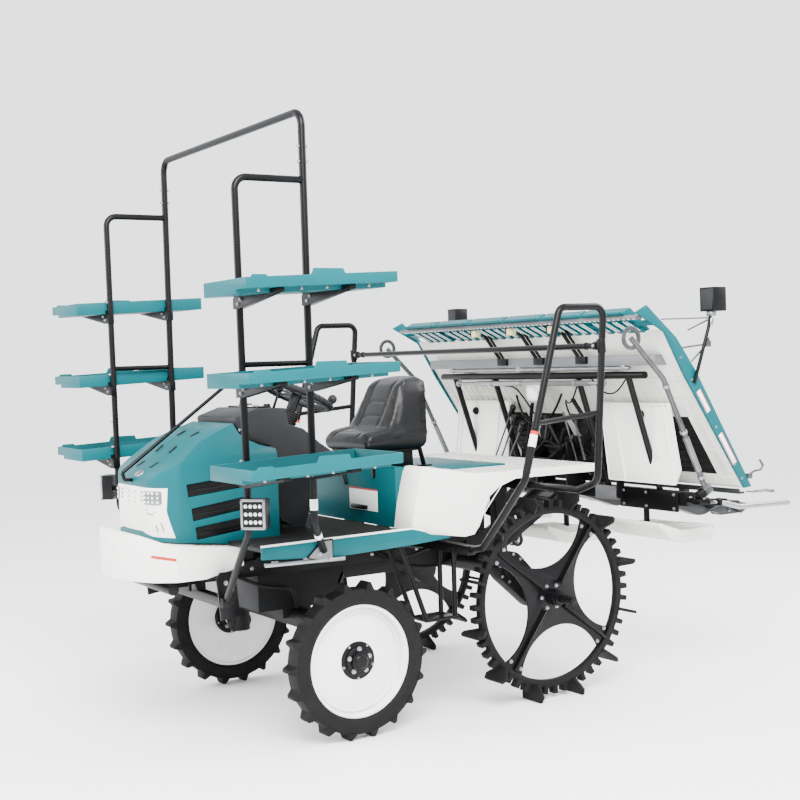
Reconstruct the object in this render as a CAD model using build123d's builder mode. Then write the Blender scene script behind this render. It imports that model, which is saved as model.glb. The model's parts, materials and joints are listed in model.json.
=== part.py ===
"""Six-row riding rice transplanter, with its planting unit raised as it is for the road.

Millimetres. +X points forward, +Y to the driver's left, +Z up. The origin lies on the
ground under the middle of the machine.
"""
import os
from math import cos, hypot, radians, sin, tan

from build123d import *

os.makedirs("parts", exist_ok=True)

# Overall size and the running gear
overall_length = 2950.0
overall_width = 2200.0
front_x = overall_length / 2
rear_x = -overall_length / 2
front_axle_x = 650.0
wheelbase = 1028.0
rear_axle_x = front_axle_x - wheelbase
front_track = 1222.0
rear_track = 1212.0
seat_gap = 0.3
running_clearance = 0.05

# Front wheels: solid rubber tyres with bar lugs on a pressed disc
front_wheel_radius = 325.0
front_lug_count = 18
front_lug_height = 28.0
front_lug_root = 42.0
front_lug_tip = 14.0
front_tyre_width = 96.0
front_tyre_depth = 64.0
front_disc_thickness = 8.0
front_half_step = radians(180 / front_lug_count)
front_axle_z = (front_wheel_radius * cos(front_half_step)
                + front_lug_tip / 2 * sin(front_half_step))

# Rear wheels: narrow rings with wide paddles and small knobs between them
rear_wheel_radius = 472.0
paddle_count = 12
paddle_height = 66.0
paddle_thickness = 14.0
paddle_width = 150.0
paddle_root_width = 56.0
knobs_per_gap = 3
knob_height = 32.0
knob_thickness = 22.0
rear_ring_width = 46.0
rear_ring_depth = 30.0
rear_half_step = radians(180 / paddle_count)
rear_axle_z = (rear_wheel_radius * cos(rear_half_step)
               + paddle_thickness / 2 * sin(rear_half_step))

# Kingpins and stub axles
kingpin_y = 500.0
kingpin_radius = 16.0
knuckle_radius = 48.0
front_stub_radius = 15.0
front_hub_radius = 38.0
rear_stub_radius = 17.0
rear_hub_radius = 36.0
rear_stub_reach = 162.0
spider_turn = 8.0
front_axle_beam_z = 425.0
front_axle_beam_radius = 45.0
knuckle_top_z = 378.0

# Main frame
rail_y = 150.0
rail_width = 50.0
rail_bottom = 640.0
rail_top = 710.0
rail_front = 1180.0
rail_rear = -462.0
outrigger_size = 40.0
bumper_bar_x = front_x - 70
front_bar_x = front_x - 165
front_bar_z = 648.0
floor_top = 820.0
floor_thickness = 16.0
floor_half_width = 610.0
floor_front = 1062.0
floor_rear = 345.0
skirt_bottom = 764.0
skirt_thickness = 12.0
floor_bar_z = floor_top - floor_thickness - outrigger_size
front_outrigger_x = 1135.0
front_outrigger_z = 592.0
front_outrigger_reach = 430.0
middle_outrigger_x = 785.0
step_outrigger_x = 112.0
step_outrigger_z = 725.0
step_outrigger_reach = 690.0
deck_bar_x = -310.0
deck_bar_z = 965.0
deck_bar_reach = 560.0

# Rear deck, fenders and seat
deck_top = 1041.0
deck_rim = 36.0
deck_skin = 12.0
deck_rear = -670.0
deck_half_width = 600.0
fender_wall = 8.0
seat_base_front = 334.0
seat_base_rear = 20.0
seat_base_half_width = 455.0
seat_base_front_top = 1086.0
cushion_bottom = 1136.0
seat_half_width = 205.0

# Hood and console
hood_half_width = 280.0
hood_skin = 7.0
hood_rear = 812.0
hood_bottom = 802.0
hood_hinge_x = 985.0
hood_hinge_z = 1300.0
console_gap = 5.0

# Racks for seedling trays
rack_y = 703.0
rack_front_x = 1170.0
rack_rear_x = 873.0
rack_top_z = 2264.0
rack_tube = 15.0
arch_top_z = 2535.0
front_tube = 14.0
rack_bar_z = 1548.0
rack_mid_x = (rack_front_x + rack_rear_x) / 2
shelf_length = 630.0
shelf_mid_x = rack_mid_x - 15
shelf_rise = 26.0
shelf_inner_y = 724.0
shelf_outer_y = 1088.0
shelf_rim = 40.0
trough_outer_y = 1000.0
trough_depth = 16.0
shelf_skin = 6.0
shelf_levels = (1816.0, 1478.0, 1134.0)
bracket_depth = 40.0

# Handrail hoops beside the deck
hoop_y = 1034.0
hoop_tube = 15.0
rail_tube = 13.0
guard_rail_z = 1581.0

# Lift linkage: two parallel links and one cylinder
hitch_x = rear_x + 560
link_angle = 30.0
link_drop_angle = 65.0
lower_pivot = (-430.0, 600.0)
upper_pivot = (-430.0, 800.0)
link_pin = 14.0
link_eye = 25.0
link_dx = hitch_x - lower_pivot[0]
link_dz = -link_dx * tan(radians(link_angle))
link_length = hypot(link_dx, link_dz)
lower_hitch = (lower_pivot[0] + link_dx, lower_pivot[1] + link_dz)
upper_hitch = (upper_pivot[0] + link_dx, upper_pivot[1] + link_dz)
link_half_width = 114.0
hitch_plate = 12.0
barrel_pivot = (-360.0, 557.0)
rod_eye_along = 0.3518 * link_length
rod_eye_below = 80.0
barrel_radius = 27.0
rod_radius = 12.0
rod_pin = 9.0
eye_slack = 10.5

# Planting unit
beam_front = hitch_x - 30
beam_size = 60.0
beam_z = 870.0
beam_half_length = overall_width / 2 - 200
beam_reach = overall_width / 2 - 125
case_half_width = 35.0
rotor_radius = 130.0
rotor_x = rear_x + rotor_radius
rotor_z = 790.0
rotor_shaft = 15.0
rotor_case_width = 46.0
cover_x = hitch_x
upper_rail_x = rear_x + 685
upper_rail_z = 1444.0
upper_rail_radius = 17.0
guard_tube = 12.0

# Seedling stand
stand_foot = (rear_x + 260, 909.0)
stand_kink = (rear_x + 733, 1642.0)
stand_half_width = overall_width / 2 - 115
row_pitch = (stand_half_width - 85) / 3
stand_skin = 9.0
divider_height = 34.0
divider_thickness = 8.0
side_strip = 14.0
stand_run = (stand_kink[0] - stand_foot[0], stand_kink[1] - stand_foot[1])
stand_length = hypot(*stand_run)
stand_up = (stand_run[0] / stand_length, 0.0, stand_run[1] / stand_length)
stand_normal = (-stand_up[2], 0.0, stand_up[0])

# Marker arms
marker_y = overall_width / 2 - 100
marker_base = (rear_x + 508, 919.0)
marker_elbow = (rear_x + 752, 1432.0)
marker_tip = (rear_x + 932, 1610.0)
marker_tube = 12.0
marker_run = (marker_elbow[0] - marker_base[0], marker_elbow[1] - marker_base[1])
marker_length = hypot(*marker_run)
marker_axis = (-marker_run[1] / marker_length, 0.0, marker_run[0] / marker_length)

sides = (("left", 1), ("right", -1))
bottom = (Align.CENTER, Align.CENTER, Align.MIN)


def finish(piece, name):
    """Name a finished piece and write it to its own file."""
    piece.part.label = name
    export_step(piece.part, f"parts/{name}.step")


def block(x_low, x_high, y_low, y_high, z_low, z_high):
    """A plain block between two opposite corners."""
    with BuildPart() as shape:
        with Locations(((x_low + x_high) / 2, (y_low + y_high) / 2, (z_low + z_high) / 2)):
            Box(abs(x_high - x_low), abs(y_high - y_low), abs(z_high - z_low))
    return shape.part


def round_bar(start, end, radius):
    """A straight round bar from one point to another."""
    run = Vector(*end) - Vector(*start)
    with BuildPart() as shape:
        with BuildSketch(Plane(origin=start, z_dir=run)):
            Circle(radius)
        extrude(amount=run.length)
    return shape.part


def bent_tube(points, radius, bend):
    """A round tube along straight runs joined by arcs."""
    with BuildPart() as shape:
        with BuildLine() as path:
            FilletPolyline(*points, radius=bend)
        with BuildSketch(Plane(origin=path.line @ 0, z_dir=path.line % 0)):
            Circle(radius)
        sweep()
    return shape.part


def side_plate(outline, y_low, y_high):
    """A flat plate cut to an outline seen from the side, between two distances to the left."""
    with BuildPart() as shape:
        with BuildSketch(Plane.XZ.offset(-y_low)):
            with BuildLine():
                Polyline(*outline, close=True)
            make_face()
        extrude(amount=y_low - y_high)
    return shape.part


def top_plate(outline, z_low, z_high):
    """A flat plate cut to an outline seen from above, between two heights."""
    with BuildPart() as shape:
        with BuildSketch(Plane.XY.offset(z_low)):
            with BuildLine():
                Polyline(*outline, close=True)
            make_face()
        extrude(amount=z_high - z_low)
    return shape.part


# Front bumper: a wrap-round moulding, open below and round the hood
def bumper_form(inset):
    """The bumper's outside, or with an inset the space within its walls."""
    side_y = 352.0 - inset
    nose_x = front_x - inset
    corner_x = front_x - 90 - inset
    cheek_x = front_x - 165
    with BuildPart() as form:
        with BuildSketch(Plane.XY.offset(600)):
            with BuildLine():
                Line((1020, -side_y), (cheek_x, -side_y))
                Line((cheek_x, -side_y), (corner_x, -side_y + 60))
                ThreePointArc((corner_x, -side_y + 60), (nose_x, 0), (corner_x, side_y - 60))
                Line((corner_x, side_y - 60), (cheek_x, side_y))
                Line((cheek_x, side_y), (1020, side_y))
                Line((1020, side_y), (1020, -side_y))
            make_face()
        extrude(amount=400)
        with BuildSketch(Plane.XZ.offset(-400)):
            with BuildLine():
                Polyline((1000, 728 - 4 * inset), (1190, 684 - 4 * inset),
                         (front_x + 25, 684 - 4 * inset), (front_x + 25, 790),
                         (front_x + 1 - inset, 822), (front_x - 11 - inset, 854),
                         (front_x - 29 - inset, 872 - inset), (front_x - 52, 873 - inset),
                         (front_x - 145, 832 - inset), (1000, 796 - inset), close=True)
            make_face()
        extrude(amount=800, mode=Mode.INTERSECT)
    return form.part


with BuildPart() as bumper:
    add(bumper_form(0))
    add(bumper_form(8), mode=Mode.SUBTRACT)
    # The opening lets the hood's rear corners swing down through it
    well = hood_half_width + 7
    add(top_plate(((900, -well), (front_x - 275, -well), (front_x - 175, -130),
                   (front_x - 175, 130), (front_x - 275, well), (900, well)), 600, 1000),
        mode=Mode.SUBTRACT)
    for side in (-1, 1):
        add(block(bumper_bar_x, front_x - 8, side * 40, side * 80, 700, 724))
finish(bumper, "bumper")

# Main frame: two rails, outriggers, link brackets and the bars that hold floor and deck
with BuildPart() as chassis_frame:
    for side in (-1, 1):
        inner = side * (rail_y - rail_width / 2)
        outer = side * (rail_y + rail_width / 2)
        add(block(rail_rear, rail_front, inner, outer, rail_bottom, rail_top))
        # The brackets hold the floor bars, the outriggers and the link pins
        for x_low, x_high, z_low, z_high in (
            (front_outrigger_x - 20, front_outrigger_x + 20, front_outrigger_z, rail_bottom),
            (middle_outrigger_x - 20, middle_outrigger_x + 20, rail_top, floor_bar_z),
            (380, 420, rail_top, floor_bar_z),
            (rail_rear, rail_rear + 62, lower_pivot[1] - 32, rail_bottom),
            (rail_rear, rail_rear + 62, rail_top, deck_top - deck_skin),
            (deck_bar_x - 20, deck_bar_x + 20, rail_top, deck_bar_z - 20),
            (200, 240, rail_top, floor_top),
        ):
            add(block(x_low, x_high, inner, outer, z_low, z_high))
        for pivot in (lower_pivot, upper_pivot):
            add(round_bar((pivot[0], inner, pivot[1]), (pivot[0], side * 72, pivot[1]), link_pin))
        add(block(rail_front, bumper_bar_x - 12, side * 138, side * 162, 700, 724))
        add(block(rail_front, front_bar_x, side * 140, side * 160, front_bar_z - 18, 712))
        add(side_plate(((1066, 528), (1150, 516), (1166, 690), (1150, 712), (1084, 712)),
                       side * 392, side * 400))
        add(side_plate(((-386, 530), (-334, 530), (-306, 650), (-394, 650)),
                       side * 30, side * 40))
        add(block(-394, -306, side * 30, inner, 646, 662))
    add(block(rail_front, rail_front + 12, -176, 176, 612, rail_top + 14))
    add(round_bar((front_bar_x, -300, front_bar_z), (front_bar_x, 300, front_bar_z), 23))
    for x, z, reach in (
        (front_outrigger_x, front_outrigger_z, front_outrigger_reach),
        (middle_outrigger_x, floor_bar_z + outrigger_size / 2, floor_half_width),
        (400, floor_bar_z + outrigger_size / 2, floor_half_width - skirt_thickness),
        (step_outrigger_x, step_outrigger_z, step_outrigger_reach),
        (deck_bar_x, deck_bar_z, deck_bar_reach),
    ):
        add(block(x - outrigger_size / 2, x + outrigger_size / 2, -reach, reach,
                  z - outrigger_size / 2, z + outrigger_size / 2))
    add(block(deck_bar_x - 20, deck_bar_x + 20, -deck_bar_reach, deck_bar_reach,
              deck_bar_z, deck_top - deck_skin))
    add(block(bumper_bar_x - 24, bumper_bar_x, -200, 200, 700, 724))
    add(round_bar((barrel_pivot[0], -40, barrel_pivot[1]), (barrel_pivot[0], 40, barrel_pivot[1]),
                  link_pin))
finish(chassis_frame, "chassis_frame")

# Engine: one plain heavy block on the rails
with BuildPart() as engine_block:
    add(block(862, 1160, -165, 165, rail_top, 1010))
    chamfer(engine_block.edges().filter_by(Axis.Z), length=24)
finish(engine_block, "engine_block")

# Front axle: a round beam under the gearbox with a kingpin housing at each end
with BuildPart() as front_axle:
    add(round_bar((front_axle_x, -kingpin_y, front_axle_beam_z),
                  (front_axle_x, kingpin_y, front_axle_beam_z), front_axle_beam_radius))
    add(block(front_axle_x - 70, front_axle_x + 70, -100, 100, front_axle_beam_z, 470))
    for side in (-1, 1):
        housing = (front_axle_x, side * kingpin_y)
        add(round_bar((*housing, knuckle_top_z + seat_gap), (*housing, 480), knuckle_radius))
        add(round_bar((*housing, knuckle_top_z), (*housing, 460),
                      kingpin_radius + running_clearance), mode=Mode.SUBTRACT)
finish(front_axle, "front_axle")

# Rear axle: a round beam under the rails and a drop case down to each wheel
rear_beam_x = -240.0
rear_beam_z = 590.0
rear_case_inner = 425.0
rear_case_outer = 500.0
with BuildPart() as rear_axle:
    add(round_bar((rear_beam_x, -rear_case_inner, rear_beam_z),
                  (rear_beam_x, rear_case_inner, rear_beam_z), 50))
    add(block(rear_beam_x - 40, rear_beam_x + 40, -175, 175, rear_beam_z, rail_bottom))
    for side in (-1, 1):
        with BuildSketch(Plane.XZ.offset(-side * rear_case_inner)):
            with Locations((rear_beam_x, rear_beam_z)):
                Circle(74)
            with Locations((rear_axle_x, rear_axle_z)):
                Circle(66)
            make_hull()
        extrude(amount=-side * (rear_case_outer - rear_case_inner))
        add(round_bar((rear_axle_x, side * rear_case_outer, rear_axle_z),
                      (rear_axle_x, side * (rear_track / 2 + 20), rear_axle_z),
                      rear_stub_radius))
finish(rear_axle, "rear_axle")


# Gearbox and the shaft tunnel back to the rear axle
gearbox_half_width = rail_y - rail_width / 2 - seat_gap
with BuildPart() as gearbox:
    add(block(420, 850, -gearbox_half_width, gearbox_half_width, 470, 690))
    add(block(rear_beam_x, 420, -60, 60, 560, 660))
    add(rear_axle.part, mode=Mode.SUBTRACT)
finish(gearbox, "gearbox")


# Steering knuckles with their kingpins and stub axles
def make_knuckle(name, side):
    """The swivel case under one end of the front axle."""
    with BuildPart() as knuckle:
        add(round_bar((front_axle_x, side * kingpin_y, front_axle_z - 46),
                      (front_axle_x, side * kingpin_y, knuckle_top_z), knuckle_radius))
        add(round_bar((front_axle_x, side * kingpin_y, knuckle_top_z),
                      (front_axle_x, side * kingpin_y, 455), kingpin_radius))
        add(round_bar((front_axle_x, side * (kingpin_y - 30), front_axle_z),
                      (front_axle_x, side * (kingpin_y + 52), front_axle_z), 46))
        add(round_bar((front_axle_x, side * kingpin_y, front_axle_z),
                      (front_axle_x, side * (front_track / 2 + 14), front_axle_z),
                      front_stub_radius))
    finish(knuckle, name)


# Wheels turn about an axis along Y through the wheel's own centre
def wheel_plane(x, y, z):
    """Seen from the left side, with its normal along +Y reversed for the sketch's sense."""
    return Plane(origin=(x, y, z), x_dir=(0, 1, 0), z_dir=(1, 0, 0))


def turned(centre, profile):
    """A turned ring or hub: its profile gives distance along the axle and radius."""
    with BuildPart() as shape:
        with BuildSketch(wheel_plane(*centre)):
            with BuildLine():
                Polyline(*profile, close=True)
            make_face()
        revolve(axis=Axis(centre, (0, 1, 0)))
    return shape.part


def around(centre, count, start, piece):
    """Copies of one piece spread evenly round the axle."""
    return [piece.rotate(Axis(centre, (0, 1, 0)), start + index * 360 / count)
            for index in range(count)]


def make_front_wheel(side_name, side):
    """One front tyre with its lugs, and its pressed disc and hub."""
    centre = (front_axle_x, side * front_track / 2, front_axle_z)
    half = front_tyre_width / 2
    tread = front_wheel_radius - front_lug_height
    bead = tread - front_tyre_depth
    low = centre[2] - front_wheel_radius
    root = centre[2] - tread + 6
    with BuildPart() as lug:
        add(side_plate(((centre[0] - front_lug_root / 2, root), (centre[0] - front_lug_tip / 2, low),
                        (centre[0] + front_lug_tip / 2, low), (centre[0] + front_lug_root / 2, root)),
                       centre[1] - half, centre[1] + half))
        with BuildSketch(Plane.YZ.offset(centre[0] - front_lug_root)):
            with BuildLine():
                Polyline((centre[1] - half, root), (centre[1] - half + 15, low),
                         (centre[1] + half - 15, low), (centre[1] + half, root), close=True)
            make_face()
        extrude(amount=2 * front_lug_root, mode=Mode.INTERSECT)
    with BuildPart() as tyre:
        add(turned(centre, ((-half + 8, bead), (half - 8, bead), (half, bead + 18),
                            (half - 6, tread), (-half + 6, tread), (-half, bead + 18))))
        add(around(centre, front_lug_count, 180 / front_lug_count, lug.part))
    finish(tyre, f"front_tyre_{side_name}")
    bore = front_stub_radius + running_clearance
    with BuildPart() as disc:
        add(turned(centre, ((-side * 46, bore), (side * 20, bore), (side * 20, 0),
                            (side * 40, 0), (side * 40, 26), (side * 30, front_hub_radius),
                            (side * 12, front_hub_radius), (side * 12, 130),
                            (-side * 14, 190), (-side * 14, bead - 12), (side * 34, bead - 12),
                            (side * 34, bead - 1), (-side * 34, bead - 1), (-side * 34, bead - 12),
                            (-side * 22, bead - 12), (-side * 22, 186), (side * 4, 126),
                            (side * 4, front_hub_radius), (-side * 46, front_hub_radius))))
        add(turned(centre, ((-30, bead - 2), (30, bead - 2), (30, bead), (-30, bead))))
    finish(disc, f"front_disc_{side_name}")


def make_rear_wheels():
    """Each rear ring with paddles and knobs, and its four-armed spider and stub."""
    centre = (rear_axle_x, rear_track / 2, rear_axle_z)
    ring_outer = rear_wheel_radius - paddle_height
    ring_inner = ring_outer - rear_ring_depth
    half = rear_ring_width / 2
    low = centre[2] - rear_wheel_radius
    root = centre[2] - ring_outer + 10
    with BuildPart() as paddle:
        with BuildSketch(Plane.YZ.offset(centre[0] - paddle_thickness / 2)):
            with BuildLine():
                Polyline((centre[1] - paddle_root_width / 2, root),
                         (centre[1] - paddle_width / 2, low + 26),
                         (centre[1] - paddle_width / 2 + 12, low),
                         (centre[1] + paddle_width / 2 - 12, low),
                         (centre[1] + paddle_width / 2, low + 26),
                         (centre[1] + paddle_root_width / 2, root), close=True)
            make_face()
        extrude(amount=paddle_thickness)
    knob = block(centre[0] - knob_thickness / 2, centre[0] + knob_thickness / 2,
                 centre[1] - half + 3, centre[1] + half - 3,
                 centre[2] - ring_outer - knob_height, root)
    with BuildPart() as tyre:
        add(turned(centre, ((-half + 8, ring_inner), (half - 8, ring_inner),
                            (half, ring_inner + 10), (half, ring_outer - 10),
                            (half - 8, ring_outer), (-half + 8, ring_outer),
                            (-half, ring_outer - 10), (-half, ring_inner + 10))))
        add(around(centre, paddle_count, 180 / paddle_count, paddle.part))
        for number in range(1, knobs_per_gap + 1):
            turn = 180 / paddle_count + 360 / paddle_count * number / (knobs_per_gap + 1)
            add(around(centre, paddle_count, turn, knob))
    bore = rear_stub_radius + running_clearance
    with BuildPart() as spider:
        # A disc with four round bites leaves four waisted arms
        with BuildSketch(Plane(origin=(centre[0], centre[1] - 5, centre[2]),
                               x_dir=(1, 0, 0), z_dir=(0, 1, 0))):
            Circle(ring_inner + 4)
            with PolarLocations(372, 4, start_angle=spider_turn):
                Circle(235, mode=Mode.SUBTRACT)
        extrude(amount=10)
        rib_middle = (75 + ring_inner) / 2
        with BuildSketch(Plane(origin=(centre[0], centre[1] - 5, centre[2]),
                               x_dir=(1, 0, 0), z_dir=(0, 1, 0))):
            with PolarLocations(rib_middle, 4, start_angle=spider_turn + 45):
                Rectangle(ring_inner - 75, 12)
        extrude(amount=28)
        add(turned(centre, ((-70, bore), (22, bore), (22, 0), (rear_stub_reach, 0),
                            (rear_stub_reach, 16), (60, 16), (60, rear_hub_radius),
                            (-70, rear_hub_radius))))
        add(round_bar((centre[0], centre[1] - 80, centre[2]),
                      (centre[0], centre[1] + 22, centre[2]), bore), mode=Mode.SUBTRACT)
        add(tyre.part, mode=Mode.SUBTRACT)
    for side_name, side in sides:
        for piece, name in ((tyre, "rear_tyre"), (spider, "rear_spider")):
            shape = piece.part if side > 0 else mirror(piece.part, about=Plane.XZ)
            with BuildPart() as wheel_piece:
                add(shape)
            finish(wheel_piece, f"{name}_{side_name}")


for side_name, side in sides:
    make_knuckle(f"knuckle_{side_name}", side)
    make_front_wheel(side_name, side)
make_rear_wheels()


# Hood: a hollow moulding hinged at its rear edge, with vents in its sides
def hood_form(inset):
    """The hood's outside, or with an inset the space under its skin."""
    half = hood_half_width - inset
    with BuildPart() as form:
        add(side_plate(((hood_rear - 4 * inset, hood_bottom - 5 * inset),
                        (1000, hood_bottom - 5 * inset), (1330, hood_bottom + 36 - 5 * inset),
                        (1368 - inset, hood_bottom + 54 - 5 * inset),
                        (1366 - inset, 870), (1354 - inset, 1098 - inset), (1330 - inset, 1116 - inset),
                        (1248, 1162 - inset), (1148, 1238 - inset), (1058, 1274 - inset),
                        (981, 1303 - inset), (966 - 4 * inset, 1262 - inset),
                        (933 - 4 * inset, 1232 - inset), (880 - 4 * inset, 1208 - inset),
                        (hood_rear - 4 * inset, 1190 - inset)), -half, half))
        with BuildSketch(Plane.XY.offset(600)):
            with BuildLine():
                Line((700, -half), (1262, -half + 4))
                ThreePointArc((1262, -half + 4), (1330 - inset / 2, -half + 62),
                              (1360 - inset, -130))
                Line((1360 - inset, -130), (1368 - inset, 0))
                Line((1368 - inset, 0), (1360 - inset, 130))
                ThreePointArc((1360 - inset, 130), (1330 - inset / 2, half - 62),
                              (1262, half - 4))
                Line((1262, half - 4), (700, half))
                Line((700, half), (700, -half))
            make_face()
        extrude(amount=800, mode=Mode.INTERSECT)
        for side in (-1, 1):
            with BuildSketch(Plane.YZ.offset(700)):
                with BuildLine():
                    Polyline((side * (half + 1), 1160), (side * (half + 1), 1500),
                             (side * 150, 1500), (side * 205, 1312 - inset), close=True)
                make_face()
            extrude(amount=800, mode=Mode.SUBTRACT)
    return form.part


with BuildPart() as fascia_zone:
    with BuildSketch(Plane.YZ.offset(1255)):
        with BuildLine():
            Polyline((-250, 1056), (250, 1056), (245, 960), (266, 852), (188, 858), (112, 875),
                     (-112, 875), (-188, 858), (-266, 852), (-245, 960), close=True)
        make_face()
    extrude(amount=145)
with BuildPart() as hood_shell:
    add(hood_form(0))
    add(hood_form(hood_skin), mode=Mode.SUBTRACT)
    add(fascia_zone.part, mode=Mode.SUBTRACT)
    # Each vent: front end's and rear end's distance forward and height
    for front, front_z, back, back_z in (
        (1222, 1040, 950, 1066), (1204, 940, 955, 973), (1189, 862, 960, 888),
    ):
        for side in (-1, 1):
            low = side * (hood_half_width - 30)
            high = side * (hood_half_width + 30)
            vent = ((front, front_z - 26), (front + 6, front_z + 26),
                    (back, back_z + 26), (back, back_z - 26))
            add(side_plate(vent, low, high), mode=Mode.SUBTRACT)
finish(hood_shell, "hood_shell")

with BuildPart() as hood_fascia:
    add(hood_form(0))
    add(hood_form(hood_skin), mode=Mode.SUBTRACT)
    add(fascia_zone.part, mode=Mode.INTERSECT)
finish(hood_fascia, "hood_fascia")

# Headlamps: two lenses that follow the fascia round its corners
lens_depth = 5.0
with BuildPart() as headlamps:
    with BuildSketch(Plane.YZ.offset(1290)):
        with Locations((-188, 1016), (188, 1016)):
            RectangleRounded(88, 56, 9)
    extrude(amount=110)
    add(hood_form(-lens_depth), mode=Mode.INTERSECT)
    add(hood_form(0), mode=Mode.SUBTRACT)
finish(headlamps, "headlamps")

# Sighting pole folded back over the hood
pole_radius = 8.0
with BuildPart() as centre_pole:
    add(bent_tube(((1340, 0, 1078), (1390, 0, 1082), (1397, 0, 1112), (820, 0, 1525)),
                  pole_radius, 12))
    add(hood_form(0), mode=Mode.SUBTRACT)
finish(centre_pole, "centre_pole")

# Console behind the hood, with the steering column's pod
with BuildPart() as console:
    add(side_plate(((963, 1326), (861, 1360), (722, 1356), (712, 1285), (640, 1262),
                    (560, 1196), (479, 1141), (479, 1118), (hood_rear - console_gap, 1118),
                    (hood_rear - console_gap, 1197), (876, 1217), (926, 1240), (955, 1268),
                    (966, 1312)), -200, 200))
    add(side_plate(((hood_rear - console_gap, 1118), (545, 1118), (545, 972), (600, floor_top),
                    (hood_rear - console_gap, floor_top)), -110, 110))
    add(round_bar((640, 0, 1240), (598, 0, 1330), 42))
finish(console, "console")

# Steering wheel on its column
wheel_hub = (565.0, 0.0, 1402.0)
column_run = (-0.42, 0.0, 0.908)
column_reach = 79.0
with BuildPart(Plane(origin=wheel_hub, x_dir=(0, 1, 0), z_dir=column_run)) as steering_wheel:
    Torus(160, 14)
    with Locations((0, 0, -(column_reach - seat_gap) / 2)):
        Cylinder(24, column_reach - seat_gap)
    with PolarLocations(76, 3):
        Box(152, 22, 8)
finish(steering_wheel, "steering_wheel")

# Control levers on the console
with BuildPart() as control_levers:
    for side in (-1, 1):
        foot = (770, side * 165, 1345)
        head = (742, side * 185, 1440)
        add(round_bar(foot, head, 6))
        with Locations(head):
            Sphere(17)
    add(console.part, mode=Mode.SUBTRACT)
finish(control_levers, "control_levers")

# Floor plate and its skirts
with BuildPart() as step_floor:
    add(block(floor_rear, floor_front, -floor_half_width, floor_half_width,
              floor_top - floor_thickness, floor_top))
    add(block(hood_rear - console_gap - 5, floor_front + 1, -hood_half_width - 12,
              hood_half_width + 12, 700, 900), mode=Mode.SUBTRACT)
finish(step_floor, "step_floor")

with BuildPart() as floor_skirts:
    for side in (-1, 1):
        outline = ((floor_front + 6, skirt_bottom + 14), (floor_front + 6, floor_top + 6),
                   (360, floor_top + 13), (310, floor_top), (272, 804), (172, 784), (172, 779),
                   (370, 767), (735, 756))
        add(side_plate(outline, side * floor_half_width,
                       side * (floor_half_width + skirt_thickness)))
    add(chassis_frame.part, mode=Mode.SUBTRACT)
finish(floor_skirts, "floor_skirts")

# Boarding steps between the wheels
step_inner = 445.0
step_outer = 585.0
step_z = 426.0
with BuildPart() as boarding_steps:
    for side in (-1, 1):
        add(block(114, 282, side * step_inner, side * step_outer, step_z - 5, step_z + 5))
        for y in (step_inner + 15, step_outer - 15):
            add(round_bar((400, side * y, floor_bar_z + 10), (272, side * y, step_z), 11))
            add(round_bar((124, side * y, step_outrigger_z), (124, side * y, step_z), 11))
    add(chassis_frame.part, mode=Mode.SUBTRACT)
finish(boarding_steps, "boarding_steps")

# Seat base and rear deck
with BuildPart() as seat_base:
    add(side_plate(((seat_base_front, floor_top), (seat_base_front, seat_base_front_top),
                    (seat_base_rear, deck_top + 4), (seat_base_rear, floor_top)),
                   -seat_base_half_width, seat_base_half_width))
    add(side_plate(((seat_base_front - 10, floor_top - 1),
                    (seat_base_front - 10, seat_base_front_top - 11),
                    (seat_base_rear + 10, deck_top - 6), (seat_base_rear + 10, floor_top - 1)),
                   -seat_base_half_width + 10, seat_base_half_width - 10), mode=Mode.SUBTRACT)
    # A raised panel runs back over the deck behind the seat, let into it by a little
    panel_rear = -350.0
    panel_half_width = 330.0
    panel_sink = 3.0
    add(block(panel_rear, seat_base_rear + 6, -panel_half_width, panel_half_width,
              deck_top - panel_sink, deck_top + 8))
finish(seat_base, "seat_base")

with BuildPart() as rear_deck:
    add(block(deck_rear, seat_base_rear, -deck_half_width, deck_half_width,
              deck_top - deck_rim, deck_top))
    add(block(deck_rear + 12, seat_base_rear - 12, -deck_half_width + 12, deck_half_width - 12,
              deck_top - deck_rim - 1, deck_top - deck_skin), mode=Mode.SUBTRACT)
    for side in (-1, 1):
        inner = side * (seat_base_half_width + seat_gap)
        fender = ((286, 1086), (300, 1062), (334, 930), (352, floor_top + seat_gap),
                  (340, floor_top + seat_gap), (258, 800), (160, 786), (82, 773), (30, 779),
                  (2, 812), (-56, 936), (-112, 976), (-204, deck_top - deck_rim),
                  (-204, deck_top), (10, deck_top), (60, 1052), (262, 1088))
        hollow = ((280, 1074), (290, 1058), (323, 930), (340, floor_top + 11), (336, floor_top + 10),
                  (258, 811), (160, 796), (84, 783), (38, 789), (12, 816),
                  (-46, 944), (-104, 986), (-180, deck_top - 12),
                  (10, deck_top - 12), (62, 1041), (260, 1077))
        add(side_plate(fender, inner, side * deck_half_width))
        add(side_plate(hollow, inner - side * 1, side * (deck_half_width - fender_wall)),
            mode=Mode.SUBTRACT)
    add(block(panel_rear, seat_base_rear + 40, -panel_half_width, panel_half_width,
              deck_top - panel_sink, deck_top + 20), mode=Mode.SUBTRACT)
    add(chassis_frame.part, mode=Mode.SUBTRACT)
finish(rear_deck, "rear_deck")

# Seat on its frame
with BuildPart() as seat_frame:
    base_slope = (seat_base_front_top - deck_top - 4) / (seat_base_front - seat_base_rear)
    for side in (-1, 1):
        outline = ((40, deck_top + 4 + base_slope * (40 - seat_base_rear)),
                   (300, deck_top + 4 + base_slope * (300 - seat_base_rear)),
                   (300, cushion_bottom), (40, cushion_bottom))
        add(side_plate(outline, side * 110, side * 140))
    add(block(60, 290, -110, 110, cushion_bottom - 20, cushion_bottom))
finish(seat_frame, "seat_frame")

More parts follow.
